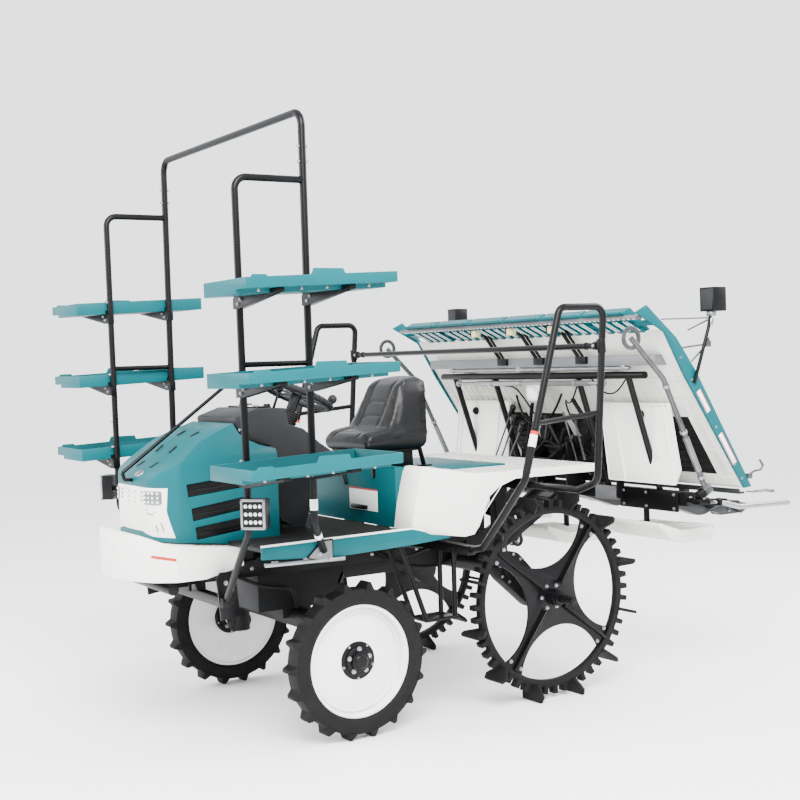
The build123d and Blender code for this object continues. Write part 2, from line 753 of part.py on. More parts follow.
with BuildPart() as seat:
    add(side_plate(((316, cushion_bottom), (332, 1178), (306, 1214), (200, 1234), (168, 1290),
                    (104, 1424), (66, 1464), (-20, 1477), (-52, 1452), (-30, 1290),
                    (-10, 1160), (0, cushion_bottom)), -seat_half_width, seat_half_width))
    # The back rest narrows upward
    half = seat_half_width
    with BuildSketch(Plane.YZ.offset(-100)):
        with BuildLine():
            Polyline((-half + 14, cushion_bottom), (half - 14, cushion_bottom), (half, 1160),
                     (half, 1210), (half - 14, 1250), (half - 50, 1400), (half - 72, 1452),
                     (half - 104, 1477), (104 - half, 1477), (72 - half, 1452), (50 - half, 1400),
                     (14 - half, 1250), (-half, 1210), (-half, 1160), close=True)
        make_face()
    extrude(amount=500, mode=Mode.INTERSECT)
finish(seat, "seat")


# Rack for seedling trays: one tall arch, and a front post bent back to it on each side
def rear_post(side):
    """The arch's tube on one side, from its foot up to the middle of the top."""
    y = side * rack_y
    return ((middle_outrigger_x + 12, side * 634, 790), (rack_rear_x, y, 905),
            (rack_rear_x, y, arch_top_z), (rack_rear_x, 0, arch_top_z))


with BuildPart() as rack_arch:
    for side in (-1, 1):
        add(bent_tube(rear_post(side), rack_tube, 60))
        plate_y = floor_half_width + skirt_thickness
        add(side_plate(((868, 770), (800, 834), (752, 834), (752, 738), (868, 764)),
                       side * (plate_y + seat_gap), side * (plate_y + 8)))
    add(chassis_frame.part, mode=Mode.SUBTRACT)
    add(floor_skirts.part, mode=Mode.SUBTRACT)
finish(rack_arch, "rack_arch")

with BuildPart() as rack_sides:
    for side in (-1, 1):
        y = side * rack_y
        add(bent_tube(((front_outrigger_x, side * (front_outrigger_reach - 20),
                        front_outrigger_z - 4),
                       (rack_front_x - 12, y, 905), (rack_front_x, y, rack_top_z),
                       (rack_rear_x, y, rack_top_z)), front_tube, 48))
        add(round_bar((rack_rear_x, y, rack_bar_z), (rack_front_x - 4, y, rack_bar_z), 11))
    add(chassis_frame.part, mode=Mode.SUBTRACT)
    add(rack_arch.part, mode=Mode.SUBTRACT)
finish(rack_sides, "rack_sides")


# Shelves: three shallow pans a side on bracket arms, a little higher at the rear
def shelf_z(level, x):
    """The height of a shelf's rim foot at a distance forward."""
    return level + shelf_rise * (shelf_mid_x + shelf_length / 2 - x) / shelf_length


def pan_form(side, level, inset, outer_y, low, high):
    """A sloping block under or over a shelf's rim foot, drawn in by an inset."""
    front = shelf_mid_x + shelf_length / 2 - inset
    rear = shelf_mid_x - shelf_length / 2 + inset
    outline = ((front, shelf_z(level, front) + low), (rear, shelf_z(level, rear) + low),
               (rear, shelf_z(level, rear) + high), (front, shelf_z(level, front) + high))
    return side_plate(outline, side * (shelf_inner_y + inset), side * (outer_y - inset))


with BuildPart() as shelves:
    for side in (-1, 1):
        for level in shelf_levels:
            add(pan_form(side, level, 0, shelf_outer_y, 0, shelf_rim))
            add(pan_form(side, level, 0, trough_outer_y, -trough_depth, 10))
            add(pan_form(side, level, shelf_skin, shelf_outer_y, shelf_skin, shelf_rim + 9),
                mode=Mode.SUBTRACT)
            add(pan_form(side, level, shelf_skin, trough_outer_y, shelf_skin - trough_depth, 12),
                mode=Mode.SUBTRACT)
            # Raised parts of the outer edge: where from, how long and how high
            for start, length, height in ((shelf_mid_x + 58, 156, 24), (shelf_mid_x + 304, 86, 10)):
                foot = shelf_z(level, start) + shelf_rim
                tab = ((start, foot - 10), (start - 16, foot + height),
                       (start + 16 - length, foot + height), (start - length, foot - 10))
                edge = side * shelf_outer_y
                add(side_plate(tab, edge - side * shelf_skin, edge))
finish(shelves, "shelves")

with BuildPart() as shelf_arms:
    for side in (-1, 1):
        for level in shelf_levels:
            for x in (rack_rear_x, rack_front_x):
                top = shelf_z(level, x) + 1
                with BuildSketch(Plane.YZ.offset(x - 14)):
                    with BuildLine():
                        Polyline((side * (rack_y - 20), top - 63),
                                 (side * (rack_y + 30), top - 63),
                                 (side * 1060, top - 17), (side * 1060, top),
                                 (side * (rack_y + 12), top), (side * (rack_y - 20), top - 23),
                                 close=True)
                    make_face()
                extrude(amount=28)
    add(rack_sides.part, mode=Mode.SUBTRACT)
    add(rack_arch.part, mode=Mode.SUBTRACT)
    for side in (-1, 1):
        for level in shelf_levels:
            add(pan_form(side, level, 0, shelf_outer_y, 0, shelf_rim), mode=Mode.SUBTRACT)
            add(pan_form(side, level, 0, trough_outer_y, -trough_depth, 10), mode=Mode.SUBTRACT)
finish(shelf_arms, "shelf_arms")

# Work lamps on the front posts, turned outward
lamp_turn = 42.0
with BuildPart() as work_lamps:
    for side in (-1, 1):
        y = side * (rack_y + 84)
        lamp = block(rack_front_x - 28, rack_front_x + 24, y - 48, y + 48, 928, 1042)
        add(lamp.rotate(Axis((rack_front_x, y, 0), (0, 0, 1)), side * lamp_turn))
        add(block(rack_front_x - 22, rack_front_x + 2, side * (rack_y + 4), y, 972, 992))
    add(rack_sides.part, mode=Mode.SUBTRACT)
finish(work_lamps, "work_lamps")

# Handrail hoops beside the deck, and the rail between them
with BuildPart() as hoops:
    for side in (-1, 1):
        y = side * hoop_y
        add(bent_tube(((step_outrigger_x, side * (step_outrigger_reach - 16), step_outrigger_z),
                       (108, side * 770, 745), (80, y, 1040), (-124, y, 1744), (-360, y, 1746),
                       (-304, y, 1010), (deck_bar_x, side * 900, deck_bar_z),
                       (deck_bar_x, side * (deck_bar_reach - 16), deck_bar_z)),
                      hoop_tube, 40))
        add(round_bar((-324, y, 1300), (12, y, 1272), 11))
    add(chassis_frame.part, mode=Mode.SUBTRACT)
finish(hoops, "hoops")

with BuildPart() as guard_rail:
    add(round_bar((-347, -hoop_y, guard_rail_z), (-347, hoop_y, guard_rail_z), rail_tube))
    add(hoops.part, mode=Mode.SUBTRACT)
finish(guard_rail, "guard_rail")


# Lift linkage
def on_link(pivot, along, off):
    """A point beside a link: its distance along the link, and above it."""
    angle = radians(link_angle)
    return (pivot[0] - along * cos(angle) + off * sin(angle),
            pivot[1] + along * sin(angle) + off * cos(angle))


def link_arm(pivot, y_low, y_high, half_depth):
    """One flat arm of a link with an eye at each end."""
    angle = radians(link_angle)
    with BuildPart() as arm:
        with BuildSketch(Plane.XZ.offset(-y_low)):
            with Locations(Location((pivot[0], pivot[1]), 180 - link_angle)):
                with Locations((link_length / 2, 0)):
                    SlotCenterToCenter(link_length, 2 * half_depth)
            with Locations(pivot, (pivot[0] + link_dx, pivot[1] + link_dz)):
                Circle(link_eye)
            with Locations(pivot, (pivot[0] + link_dx, pivot[1] + link_dz)):
                Circle(link_pin + running_clearance, mode=Mode.SUBTRACT)
        extrude(amount=y_low - y_high)
    return arm.part


rod_eye = on_link(lower_pivot, rod_eye_along, -rod_eye_below)
with BuildPart() as lower_link:
    for side in (-1, 1):
        add(link_arm(lower_pivot, side * 84, side * link_half_width, 20))
        lug_top = on_link(lower_pivot, 0.42 * link_length, 8)
        lug_front = on_link(lower_pivot, 0.34 * link_length, 8)
        low = (rod_eye[0] - 26, rod_eye[1] - 20)
        with BuildSketch(Plane.XZ.offset(-side * 15)):
            with Locations(rod_eye):
                Circle(32)
            with Locations(lug_top, lug_front):
                Circle(12)
            make_hull()
            with Locations(rod_eye):
                Circle(rod_pin + eye_slack, mode=Mode.SUBTRACT)
        extrude(amount=-side * 12)
    cross = on_link(lower_pivot, 0.384 * link_length, 8)
    add(round_bar((cross[0], -90, cross[1]), (cross[0], 90, cross[1]), 15))
    cross = on_link(lower_pivot, 0.786 * link_length, 0)
    add(round_bar((cross[0], -90, cross[1]), (cross[0], 90, cross[1]), 15))
finish(lower_link, "lower_link")

with BuildPart() as upper_link:
    for side in (-1, 1):
        add(link_arm(upper_pivot, side * 76, side * 100, 18))
    for share in (0.214, 0.786):
        cross = on_link(upper_pivot, share * link_length, 0)
        add(round_bar((cross[0], -80, cross[1]), (cross[0], 80, cross[1]), 13))
finish(upper_link, "upper_link")

# Lift cylinder: barrel on the frame, rod eye at the lower link's lugs
lift_run = Vector(rod_eye[0] - barrel_pivot[0], 0, rod_eye[1] - barrel_pivot[1])
lift_length = lift_run.length
lift_dir = lift_run.normalized()


def on_lift(distance):
    """A point on the cylinder's axis, from the barrel's pivot."""
    return (barrel_pivot[0] + lift_dir.X * distance, 0, barrel_pivot[1] + lift_dir.Z * distance)


with BuildPart() as lift_barrel:
    barrel_length = 0.6386 * lift_length
    add(round_bar(on_lift(0), on_lift(barrel_length), barrel_radius))
    add(round_bar((barrel_pivot[0], -26, barrel_pivot[1]), (barrel_pivot[0], 26, barrel_pivot[1]), 24))
    add(round_bar(on_lift(40), on_lift(barrel_length + 1), rod_radius + running_clearance), mode=Mode.SUBTRACT)
    add(round_bar((barrel_pivot[0], -30, barrel_pivot[1]), (barrel_pivot[0], 30, barrel_pivot[1]),
                  link_pin + running_clearance), mode=Mode.SUBTRACT)
finish(lift_barrel, "lift_barrel")

with BuildPart() as lift_rod:
    add(round_bar(on_lift(0.3866 * lift_length), on_lift(lift_length), rod_radius))
    add(round_bar((rod_eye[0], -13, rod_eye[1]), (rod_eye[0], 13, rod_eye[1]), 20))
    add(round_bar((rod_eye[0], -30, rod_eye[1]), (rod_eye[0], 30, rod_eye[1]), rod_pin))
finish(lift_rod, "lift_rod")

# Floats: one in the middle and one at each side
def make_float(shape, x_front, x_step, x_rear, y_mid, y_half, tail_half, z_low, z_high, rise):
    """One float with a raised nose and a narrower tail."""
    outline = ((x_front, z_high + rise), (x_front + 4, z_high + rise - 22), (x_front - 70, z_low + 22),
               (x_front - 150, z_low), (x_step, z_low), (x_step, z_high), (x_front - 130, z_high))
    shape.append(side_plate(outline, y_mid - y_half, y_mid + y_half))
    tail = ((x_step, z_low), (x_rear + 30, z_low), (x_rear, z_low + 20), (x_rear, z_high - 24),
            (x_step, z_high))
    shape.append(side_plate(tail, y_mid - tail_half, y_mid + tail_half))


with BuildPart() as floats:
    for pieces_y, x_front, y_half, z_low in (
        (0, rear_x + 769, 190, 606),
        (2 * row_pitch, rear_x + 609, 210, 657),
        (-2 * row_pitch, rear_x + 609, 210, 657),
    ):
        solids = []
        make_float(solids, x_front, x_front - 330, x_front - 505, pieces_y, y_half, 56, z_low,
                   z_low + 62, 44)
        for solid in solids:
            add(solid)
finish(floats, "floats")

# Frame of the planting unit: beam, hitch plates, posts, rails and brackets
beam_rear = beam_front - beam_size
with BuildPart() as planter_frame:
    add(block(beam_rear, beam_front, -beam_half_length, beam_half_length,
              beam_z - beam_size / 2, beam_z + beam_size / 2))
    hitch_inner = link_half_width + seat_gap
    for side in (-1, 1):
        add(side_plate(((beam_rear, beam_z - 30), (lower_hitch[0] + 30, beam_z - 30),
                        (lower_hitch[0] + 30, lower_hitch[1] + 30),
                        (upper_hitch[0] + 26, upper_hitch[1] + 30),
                        (upper_hitch[0] - 26, upper_hitch[1] + 30), (beam_rear, beam_z + 40)),
                       side * hitch_inner, side * (hitch_inner + hitch_plate)))
    for hitch in (lower_hitch, upper_hitch):
        add(round_bar((hitch[0], -hitch_inner, hitch[1]), (hitch[0], hitch_inner, hitch[1]),
                      link_pin))
    # Leaning posts carry the rail under the stand
    post_reach = beam_half_length - 200
    for y in (-post_reach, -340, 340, post_reach):
        add(round_bar((beam_rear + 30, y, beam_z + 20), (upper_rail_x, y, upper_rail_z), 15))
    add(round_bar((upper_rail_x, -post_reach - 115, upper_rail_z),
                  (upper_rail_x, post_reach + 115, upper_rail_z), upper_rail_radius))
    for side in (-1, 1):
        add(block(beam_front, beam_front + 8, side * 460, side * (beam_half_length - 50), 809, 904))
        add(block(beam_rear, beam_front, side * (beam_half_length - 1), side * beam_reach,
                  beam_z - 12, beam_z + 12))
        add(block(cover_x - 30, cover_x - 6, side * 450, side * 478, beam_z + 20, 1120))
        add(block(beam_front - 4, cover_x - 6, side * 450, side * 478, beam_z - 20, beam_z + 60))
        add(block(beam_rear + 20, beam_rear + 40, side * (2 * row_pitch - 10),
                  side * (2 * row_pitch + 10), 700, beam_z))
    add(block(beam_rear + 20, beam_rear + 40, -10, 10, 660, beam_z))
    add(floats.part, mode=Mode.SUBTRACT)
    # Marker arm pivots at the beam's ends
    for side in (-1, 1):
        base = (marker_base[0], side * marker_y, marker_base[1])
        add(block(hitch_x - 70, hitch_x + 10, side * beam_reach, side * (marker_y + 24),
                  beam_z - 12, beam_z + 12))
        add(round_bar([base[i] - marker_axis[i] * 40 for i in range(3)],
                      [base[i] + marker_axis[i] * 23 for i in range(3)], 10))
        add(round_bar([base[i] - marker_axis[i] * (22 + seat_gap) for i in range(3)],
                      [base[i] - marker_axis[i] * 60 for i in range(3)], 22))
finish(planter_frame, "planter_frame")

# Planting cases: three long castings from the beam to the rotors
case_rows = (-2 * row_pitch, 0.0, 2 * row_pitch)
with BuildPart() as planting_cases:
    for y in case_rows:
        outline = ((beam_rear, beam_z - 30), (rotor_x + 60, rotor_z - 44), (rotor_x + 20, rotor_z - 42),
                   (rotor_x - 30, rotor_z - 26), (rotor_x - 38, rotor_z), (rotor_x - 30, rotor_z + 26),
                   (rotor_x + 20, rotor_z + 42), (rotor_x + 100, rotor_z + 52),
                   (beam_rear, beam_z + 30))
        add(side_plate(outline, y - case_half_width, y + case_half_width))
        add(block(stand_foot[0] - 25, stand_foot[0] + 10, y - 20, y + 20, rotor_z, 880))
        add(round_bar((rotor_x, y - 40, rotor_z), (rotor_x, y + 40, rotor_z),
                      rotor_shaft + running_clearance), mode=Mode.SUBTRACT)
    # The slide rail under the stand's foot
    add(block(stand_foot[0] - 25, stand_foot[0] + 12, -beam_reach, beam_reach, 880, 890))
    add(block(stand_foot[0] + 6, stand_foot[0] + 12, -beam_reach, beam_reach, 880, 904))
finish(planting_cases, "planting_cases")

# Planting rotors: six, on three shafts that pass through the cases
with BuildPart() as planting_rotors:
    for y in case_rows:
        add(round_bar((rotor_x, y - row_pitch / 2 - 26, rotor_z),
                      (rotor_x, y + row_pitch / 2 + 26, rotor_z), rotor_shaft))
        for side in (-1, 1):
            row = y + side * row_pitch / 2
            with BuildSketch(Plane.XZ.offset(-(row - rotor_case_width / 2))):
                with Locations((rotor_x, rotor_z)):
                    SlotCenterToCenter(110, 62)
            extrude(amount=-rotor_case_width)
            # Each arm has a claw that points round the way the rotor turns
            for turn in (0, 180):
                claw = ((rotor_x - 86, rotor_z - 16), (rotor_x - 60, rotor_z - 30),
                        (rotor_x - 40, rotor_z + 18), (rotor_x - 84, rotor_z + 20),
                        (rotor_x - rotor_radius, rotor_z + 4), (rotor_x - rotor_radius, rotor_z))
                arm = side_plate(claw, row + side * (rotor_case_width / 2),
                                 row + side * (rotor_case_width / 2 + 22))
                add(arm.rotate(Axis((rotor_x, 0, rotor_z), (0, 1, 0)), turn))
finish(planting_rotors, "planting_rotors")

# White covers in front of the planting gear
with BuildPart() as mud_covers:
    for side in (-1, 1):
        with BuildSketch(Plane.YZ.offset(cover_x - 6)):
            with BuildLine():
                Polyline((side * 366, 1310), (side * 834, 1310), (side * 897, 1007),
                         (side * 861, 936), (side * 417, 936), close=True)
            make_face()
        extrude(amount=6)
        with BuildSketch(Plane.YZ.offset(cover_x - 26)):
            with BuildLine():
                Polyline((side * 366, 1310), (side * 834, 1310), (side * 834, 1302),
                         (side * 366, 1302), close=True)
            make_face()
        extrude(amount=26)
    add(planter_frame.part, mode=Mode.SUBTRACT)
finish(mud_covers, "mud_covers")

# Guard tubes beside the planting unit
with BuildPart() as side_guards:
    for side in (-1, 1):
        y = side * (overall_width / 2 - guard_tube)
        root_y = side * (overall_width / 2 - 160)
        add(bent_tube(((beam_rear + 30, root_y, beam_z), (beam_rear + 30, y, beam_z),
                       (rear_x + 395, y, 842), (rear_x + 75, y, 834)), guard_tube, 40))
    add(planter_frame.part, mode=Mode.SUBTRACT)
finish(side_guards, "side_guards")

# Seedling stand: a sloping tray with dividers, which slides from side to side
stand_plane = Plane(origin=(stand_foot[0], 0, stand_foot[1]), x_dir=(0, -1, 0),
                    z_dir=stand_normal)
row_edges = [index * row_pitch for index in range(-3, 4)]
with BuildPart(stand_plane) as stand_tray:
    with Locations((0, stand_length / 2, stand_skin / 2)):
        Box(2 * stand_half_width, stand_length, stand_skin)
    with Locations(*[(edge, stand_length / 2, stand_skin + divider_height / 2)
                     for edge in row_edges]):
        Box(divider_thickness, stand_length, divider_height)
    rail_along = ((upper_rail_z - stand_foot[1]) * stand_up[2]
                  + (upper_rail_x - stand_foot[0]) * stand_up[0])
    rail_off = ((upper_rail_z - stand_foot[1]) * stand_normal[2]
                + (upper_rail_x - stand_foot[0]) * stand_normal[0])
    with Locations(*[(y, rail_along, (rail_off + upper_rail_radius + seat_gap) / 2)
                     for y in (-2 * row_pitch, -100, 100, 2 * row_pitch)]):
        Box(60, 40, -(rail_off + upper_rail_radius + seat_gap))
finish(stand_tray, "stand_tray")

strip_outline = (stand_foot, (rear_x + 625, 1448), (rear_x + 733, 1634), (rear_x + 899, 1722),
                 (rear_x + 835, 1752), (rear_x + 663, 1606), (rear_x + 546, 1451),
                 (rear_x + 214, 913))
with BuildPart() as stand_sides:
    for side in (-1, 1):
        add(side_plate(strip_outline, side * stand_half_width,
                       side * (stand_half_width + side_strip)))
    add(stand_tray.part, mode=Mode.SUBTRACT)
finish(stand_sides, "stand_sides")

# Hoods of the stand's top: one lid to each row on a common rail
with BuildPart() as stand_top:
    for index in range(6):
        y = (index - 2.5) * row_pitch
        lid = ((rear_x + 693, 1596), (rear_x + 726, 1646), (rear_x + 885, 1722),
               (rear_x + 833, 1747), (rear_x + 669, 1608))
        add(side_plate(lid, y - row_pitch / 2 + 10, y + row_pitch / 2 - 10))
    add(side_plate(((rear_x + 775, 1664), (rear_x + 805, 1677), (rear_x + 791, 1690),
                    (rear_x + 761, 1677)), -stand_half_width, stand_half_width))
    add(stand_tray.part, mode=Mode.SUBTRACT)
    add(stand_sides.part, mode=Mode.SUBTRACT)
finish(stand_top, "stand_top")

# Box beam across the front face of the tray
beam_low = 1488.0
beam_high = 1536.0
lean = stand_run[0] / stand_run[1]
with BuildPart() as stand_beam:
    beam_face = rear_x + 711
    add(side_plate(((stand_foot[0] + (beam_low - stand_foot[1]) * lean + seat_gap, beam_low),
                    (beam_face, beam_low), (beam_face, beam_high),
                    (stand_foot[0] + (beam_high - stand_foot[1]) * lean + seat_gap, beam_high)),
                   -stand_half_width + 80, stand_half_width - 80))
    add(stand_tray.part, mode=Mode.SUBTRACT)
finish(stand_beam, "stand_beam")

# Feed belts on the tray, one to each row
with BuildPart(stand_plane) as feed_belts:
    with Locations(*[((index - 2.5) * row_pitch, 190, stand_skin + 4) for index in range(6)]):
        Box(150, 260, 8)
finish(feed_belts, "feed_belts")

# Rear lamps on rods at the stand's sides
with BuildPart() as stand_lamps:
    for side in (-1, 1):
        rod_y = side * (stand_half_width + side_strip + 8 + seat_gap)
        add(bent_tube(((rear_x + 570, rod_y, 1404), (rear_x + 475, rod_y, 1650),
                       (rear_x + 455, rod_y, 1730)), 8, 60))
        add(block(rear_x + 403, rear_x + 483, rod_y - 42, rod_y + 42, 1722, 1830))
finish(stand_lamps, "stand_lamps")

# Marker arms folded up beside the stand
for side_name, side in sides:
    y = side * marker_y
    base = (marker_base[0], y, marker_base[1])
    with BuildPart() as marker:
        add(bent_tube((base, (marker_elbow[0], y, marker_elbow[1]),
                       (marker_tip[0], y, marker_tip[1])), marker_tube, 60))
        add(round_bar([base[i] - marker_axis[i] * 22 for i in range(3)],
                      [base[i] + marker_axis[i] * 22 for i in range(3)], 24))
        with BuildSketch(Plane.XZ.offset(-(y - 4))):
            with Locations((marker_tip[0], marker_tip[1])):
                Circle(52)
                Circle(34, mode=Mode.SUBTRACT)
        extrude(amount=-8)
        add(round_bar([base[i] - marker_axis[i] * 60 for i in range(3)],
                      [base[i] + marker_axis[i] * 60 for i in range(3)],
                      10 + running_clearance), mode=Mode.SUBTRACT)
    finish(marker, f"marker_{side_name}")
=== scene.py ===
# %% [markdown]
# # A six-row riding rice transplanter
# The CAD model gives every piece its real place and size. This script dresses it: rounded
# edges, paint, rubber and the small parts that catch the eye. Everything is in metres, with
# +X forward, +Y to the driver's left and +Z up. Each step first says what the piece is on
# the real machine, how it could be made, and why one way was chosen.

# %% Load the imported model
import json
from math import atan2, cos, pi, radians, sin

import bmesh
import bpy
from mathutils import Matrix, Vector
from mathutils.bvhtree import BVHTree

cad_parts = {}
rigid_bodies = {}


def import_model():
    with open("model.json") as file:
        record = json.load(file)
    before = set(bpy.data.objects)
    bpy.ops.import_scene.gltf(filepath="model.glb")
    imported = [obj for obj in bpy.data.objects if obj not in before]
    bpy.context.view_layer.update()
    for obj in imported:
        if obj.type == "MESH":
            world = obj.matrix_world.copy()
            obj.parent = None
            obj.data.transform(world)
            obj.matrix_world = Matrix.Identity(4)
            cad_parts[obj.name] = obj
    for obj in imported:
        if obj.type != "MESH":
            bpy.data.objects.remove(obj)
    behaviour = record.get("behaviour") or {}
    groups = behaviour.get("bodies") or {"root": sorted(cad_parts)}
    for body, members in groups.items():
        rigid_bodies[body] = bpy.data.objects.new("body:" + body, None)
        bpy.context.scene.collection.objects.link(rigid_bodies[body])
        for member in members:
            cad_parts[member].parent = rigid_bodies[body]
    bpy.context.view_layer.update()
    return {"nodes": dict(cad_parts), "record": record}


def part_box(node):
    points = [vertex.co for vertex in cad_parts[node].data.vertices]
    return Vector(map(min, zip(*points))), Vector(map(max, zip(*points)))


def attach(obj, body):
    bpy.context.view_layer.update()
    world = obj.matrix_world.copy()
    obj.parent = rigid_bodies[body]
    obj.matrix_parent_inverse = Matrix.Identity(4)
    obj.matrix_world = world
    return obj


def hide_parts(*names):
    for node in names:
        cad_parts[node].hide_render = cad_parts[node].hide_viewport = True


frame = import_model()
body_of_node = {node: body for body, nodes in frame["record"]["behaviour"]["bodies"].items()
                for node in nodes}

# %% [markdown]
# ## The camera
# The photograph was taken from the front left corner, at about eye height, with a long lens.
# A camera could be aimed with a Track To constraint, but that leaves out the small tilt of
# the picture. Here its axes are worked out from its turn, dip and tilt, so that wheels,
# posts and shelves fall on their places in the photograph.

# %% Camera
camera_place = Vector((3.3542, 5.3044, 1.5503))
camera_turn = radians(-122.2)
camera_dip = radians(1.76)
camera_tilt = radians(-1.80)
lens_mm = 59.64
ahead = Vector((cos(camera_turn) * cos(camera_dip), sin(camera_turn) * cos(camera_dip),
                -sin(camera_dip)))
level_right = ahead.cross(Vector((0, 0, 1))).normalized()
level_up = level_right.cross(ahead)
right = level_right * cos(camera_tilt) + level_up * sin(camera_tilt)
up = level_up * cos(camera_tilt) - level_right * sin(camera_tilt)
camera_data = bpy.data.cameras.new("camera")
camera_data.lens = lens_mm
camera_data.sensor_width = 36.0
camera = bpy.data.objects.new("camera", camera_data)
camera.matrix_world = (Matrix.Translation(camera_place)
                       @ Matrix((right, up, -ahead)).transposed().to_4x4())
bpy.context.scene.collection.objects.link(camera)
bpy.context.scene.camera = camera
print("camera at", tuple(round(value, 2) for value in camera_place), "lens", lens_mm, "mm")

# %% [markdown]
# ## Floor and light
# A product picture has a pale floor and soft shadows. Many small lamps would give many hard
# shadows, and a single one leaves a black side. One broad lamp on the camera's side and two
# weaker ones across from it, in a bright room, keep every side readable.

# %% Floor and light
floor_shape = bmesh.new()
bmesh.ops.create_grid(floor_shape, x_segments=1, y_segments=1, size=14)
floor_mesh = bpy.data.meshes.new("floor")
floor_shape.to_mesh(floor_mesh)
floor_shape.free()
floor = bpy.data.objects.new("floor", floor_mesh)
bpy.context.scene.collection.objects.link(floor)
floor_paint = bpy.data.materials.new("pale_floor")
floor_paint.use_nodes = True
floor_shader = floor_paint.node_tree.nodes["Principled BSDF"]
floor_shader.inputs["Base Color"].default_value = (0.93, 0.93, 0.93, 1)
floor_shader.inputs["Roughness"].default_value = 0.65
floor_mesh.materials.append(floor_paint)
room = bpy.data.worlds.new("room")
room.use_nodes = True
room_light = room.node_tree.nodes["Background"]
room_light.inputs["Color"].default_value = (0.95, 0.97, 1.0, 1)
room_light.inputs["Strength"].default_value = 2.6
bpy.context.scene.world = room
print("floor: 1, room: 1")

# %% Three soft lamps


def add_light(name, place, target, size, power):
    """A square soft lamp that faces a point."""
    light = bpy.data.lights.new(name, "AREA")
    light.size = size
    light.energy = power
    lamp = bpy.data.objects.new(name, light)
    lamp.location = place
    lamp.rotation_euler = (Vector(target) - Vector(place)).to_track_quat("-Z", "Y").to_euler()
    bpy.context.scene.collection.objects.link(lamp)


# Each row: name, place, the point that it faces, its size and its power in watts
lamps = (("broad_light", (2.6, 4.8, 5.4), (0, 0, 0.9), 4.0, 1700),
         ("fill_light", (5.5, -2.0, 3.0), (0.3, 0, 0.9), 3.0, 420),
         ("back_light", (-4.5, 1.5, 4.5), (0, 0, 1.0), 3.0, 420))
for lamp_row in lamps:
    add_light(*lamp_row)
print("lamps:", len(lamps))

# %% [markdown]
# ## Paint, plastic and rubber
# The real machine has glossy mouldings, painted steel, cast cases, zinc plate and rubber.
# Each could have its own node tree. One recipe makes them all instead, because they differ
# only in a few numbers: slow clouds of noise shift the colour and the gloss a little, as on
# any real surface, and a fine grain gives the bump. What is the same all over a surface is
# set on the shader itself.

# %% Surface recipe


def surface(name, colour, roughness, metallic=0.0, mottle=0.05, cloud=5.0, grain=0.0,
            grain_size=0.002, gloss_shift=0.05, coat=0.0, shine=0.5):
    """A material with clouded colour, uneven gloss and fine grain."""
    material = bpy.data.materials.new(name)
    material.use_nodes = True
    nodes = material.node_tree.nodes
    links = material.node_tree.links
    shader = nodes["Principled BSDF"]
    shader.inputs["Metallic"].default_value = metallic
    shader.inputs["Coat Weight"].default_value = coat
    shader.inputs["Coat Roughness"].default_value = 0.12
    shader.inputs["Specular IOR Level"].default_value = shine
    place = nodes.new("ShaderNodeTexCoord")
    clouds = nodes.new("ShaderNodeTexNoise")
    clouds.inputs["Scale"].default_value = cloud
    clouds.inputs["Detail"].default_value = 5.0
    links.new(place.outputs["Object"], clouds.inputs["Vector"])
    tones = nodes.new("ShaderNodeValToRGB")
    tones.color_ramp.elements[0].position = 0.3
    tones.color_ramp.elements[1].position = 0.7
    tones.color_ramp.elements[0].color = [c * (1 - mottle) for c in colour] + [1]
    tones.color_ramp.elements[1].color = [min(1, c * (1 + mottle)) for c in colour] + [1]
    links.new(clouds.outputs["Fac"], tones.inputs["Fac"])
    links.new(tones.outputs["Color"], shader.inputs["Base Color"])
    gloss = nodes.new("ShaderNodeMapRange")
    gloss.inputs["To Min"].default_value = max(0.02, roughness - gloss_shift)
    gloss.inputs["To Max"].default_value = min(1.0, roughness + gloss_shift)
    links.new(clouds.outputs["Fac"], gloss.inputs["Value"])
    links.new(gloss.outputs["Result"], shader.inputs["Roughness"])
    if grain:
        specks = nodes.new("ShaderNodeTexNoise")
        specks.inputs["Scale"].default_value = 1 / grain_size
        specks.inputs["Detail"].default_value = 2.0
        links.new(place.outputs["Object"], specks.inputs["Vector"])
        bump = nodes.new("ShaderNodeBump")
        bump.inputs["Strength"].default_value = grain
        bump.inputs["Distance"].default_value = grain_size / 3
        links.new(specks.outputs["Fac"], bump.inputs["Height"])
        links.new(bump.outputs["Normal"], shader.inputs["Normal"])
    return material


print("surface recipe: clouds, gloss and grain")

# %% Finishes of mouldings, steel and rubber
teal = surface("teal_paint", (0.0003, 0.072, 0.084), 0.40, mottle=0.06, grain=0.05,
               grain_size=0.004, shine=0.12)
cream = surface("cream_shell", (0.80, 0.785, 0.74), 0.42, mottle=0.03, grain=0.06,
                grain_size=0.004, shine=0.4)
black_steel = surface("black_steel", (0.0018, 0.0018, 0.0021), 0.34, mottle=0.25, grain=0.12,
                      grain_size=0.003, shine=0.14)
dark_moulding = surface("dark_moulding", (0.0105, 0.0110, 0.0125), 0.55, mottle=0.12,
                        grain=0.35, grain_size=0.0015, shine=0.20)
mat_rubber = surface("mat_rubber", (0.013, 0.013, 0.0125), 0.62, mottle=0.25, cloud=7.0,
                     grain=0.35, grain_size=0.002, shine=0.15)
cast_grey = surface("cast_grey", (0.0036, 0.0038, 0.0042), 0.50, mottle=0.30, grain=0.35,
                    grain_size=0.004, shine=0.15)
rubber = surface("black_rubber", (0.0032, 0.0032, 0.0034), 0.70, mottle=0.35, cloud=9.0,
                 grain=0.30, grain_size=0.002, shine=0.14)
disc_paint = surface("white_disc_paint", (0.80, 0.80, 0.79), 0.36, mottle=0.04, grain=0.05,
                     grain_size=0.004, shine=0.4)
zinc = surface("zinc_plate", (0.26, 0.265, 0.275), 0.34, metallic=0.9, mottle=0.15,
               cloud=18.0, grain=0.10)
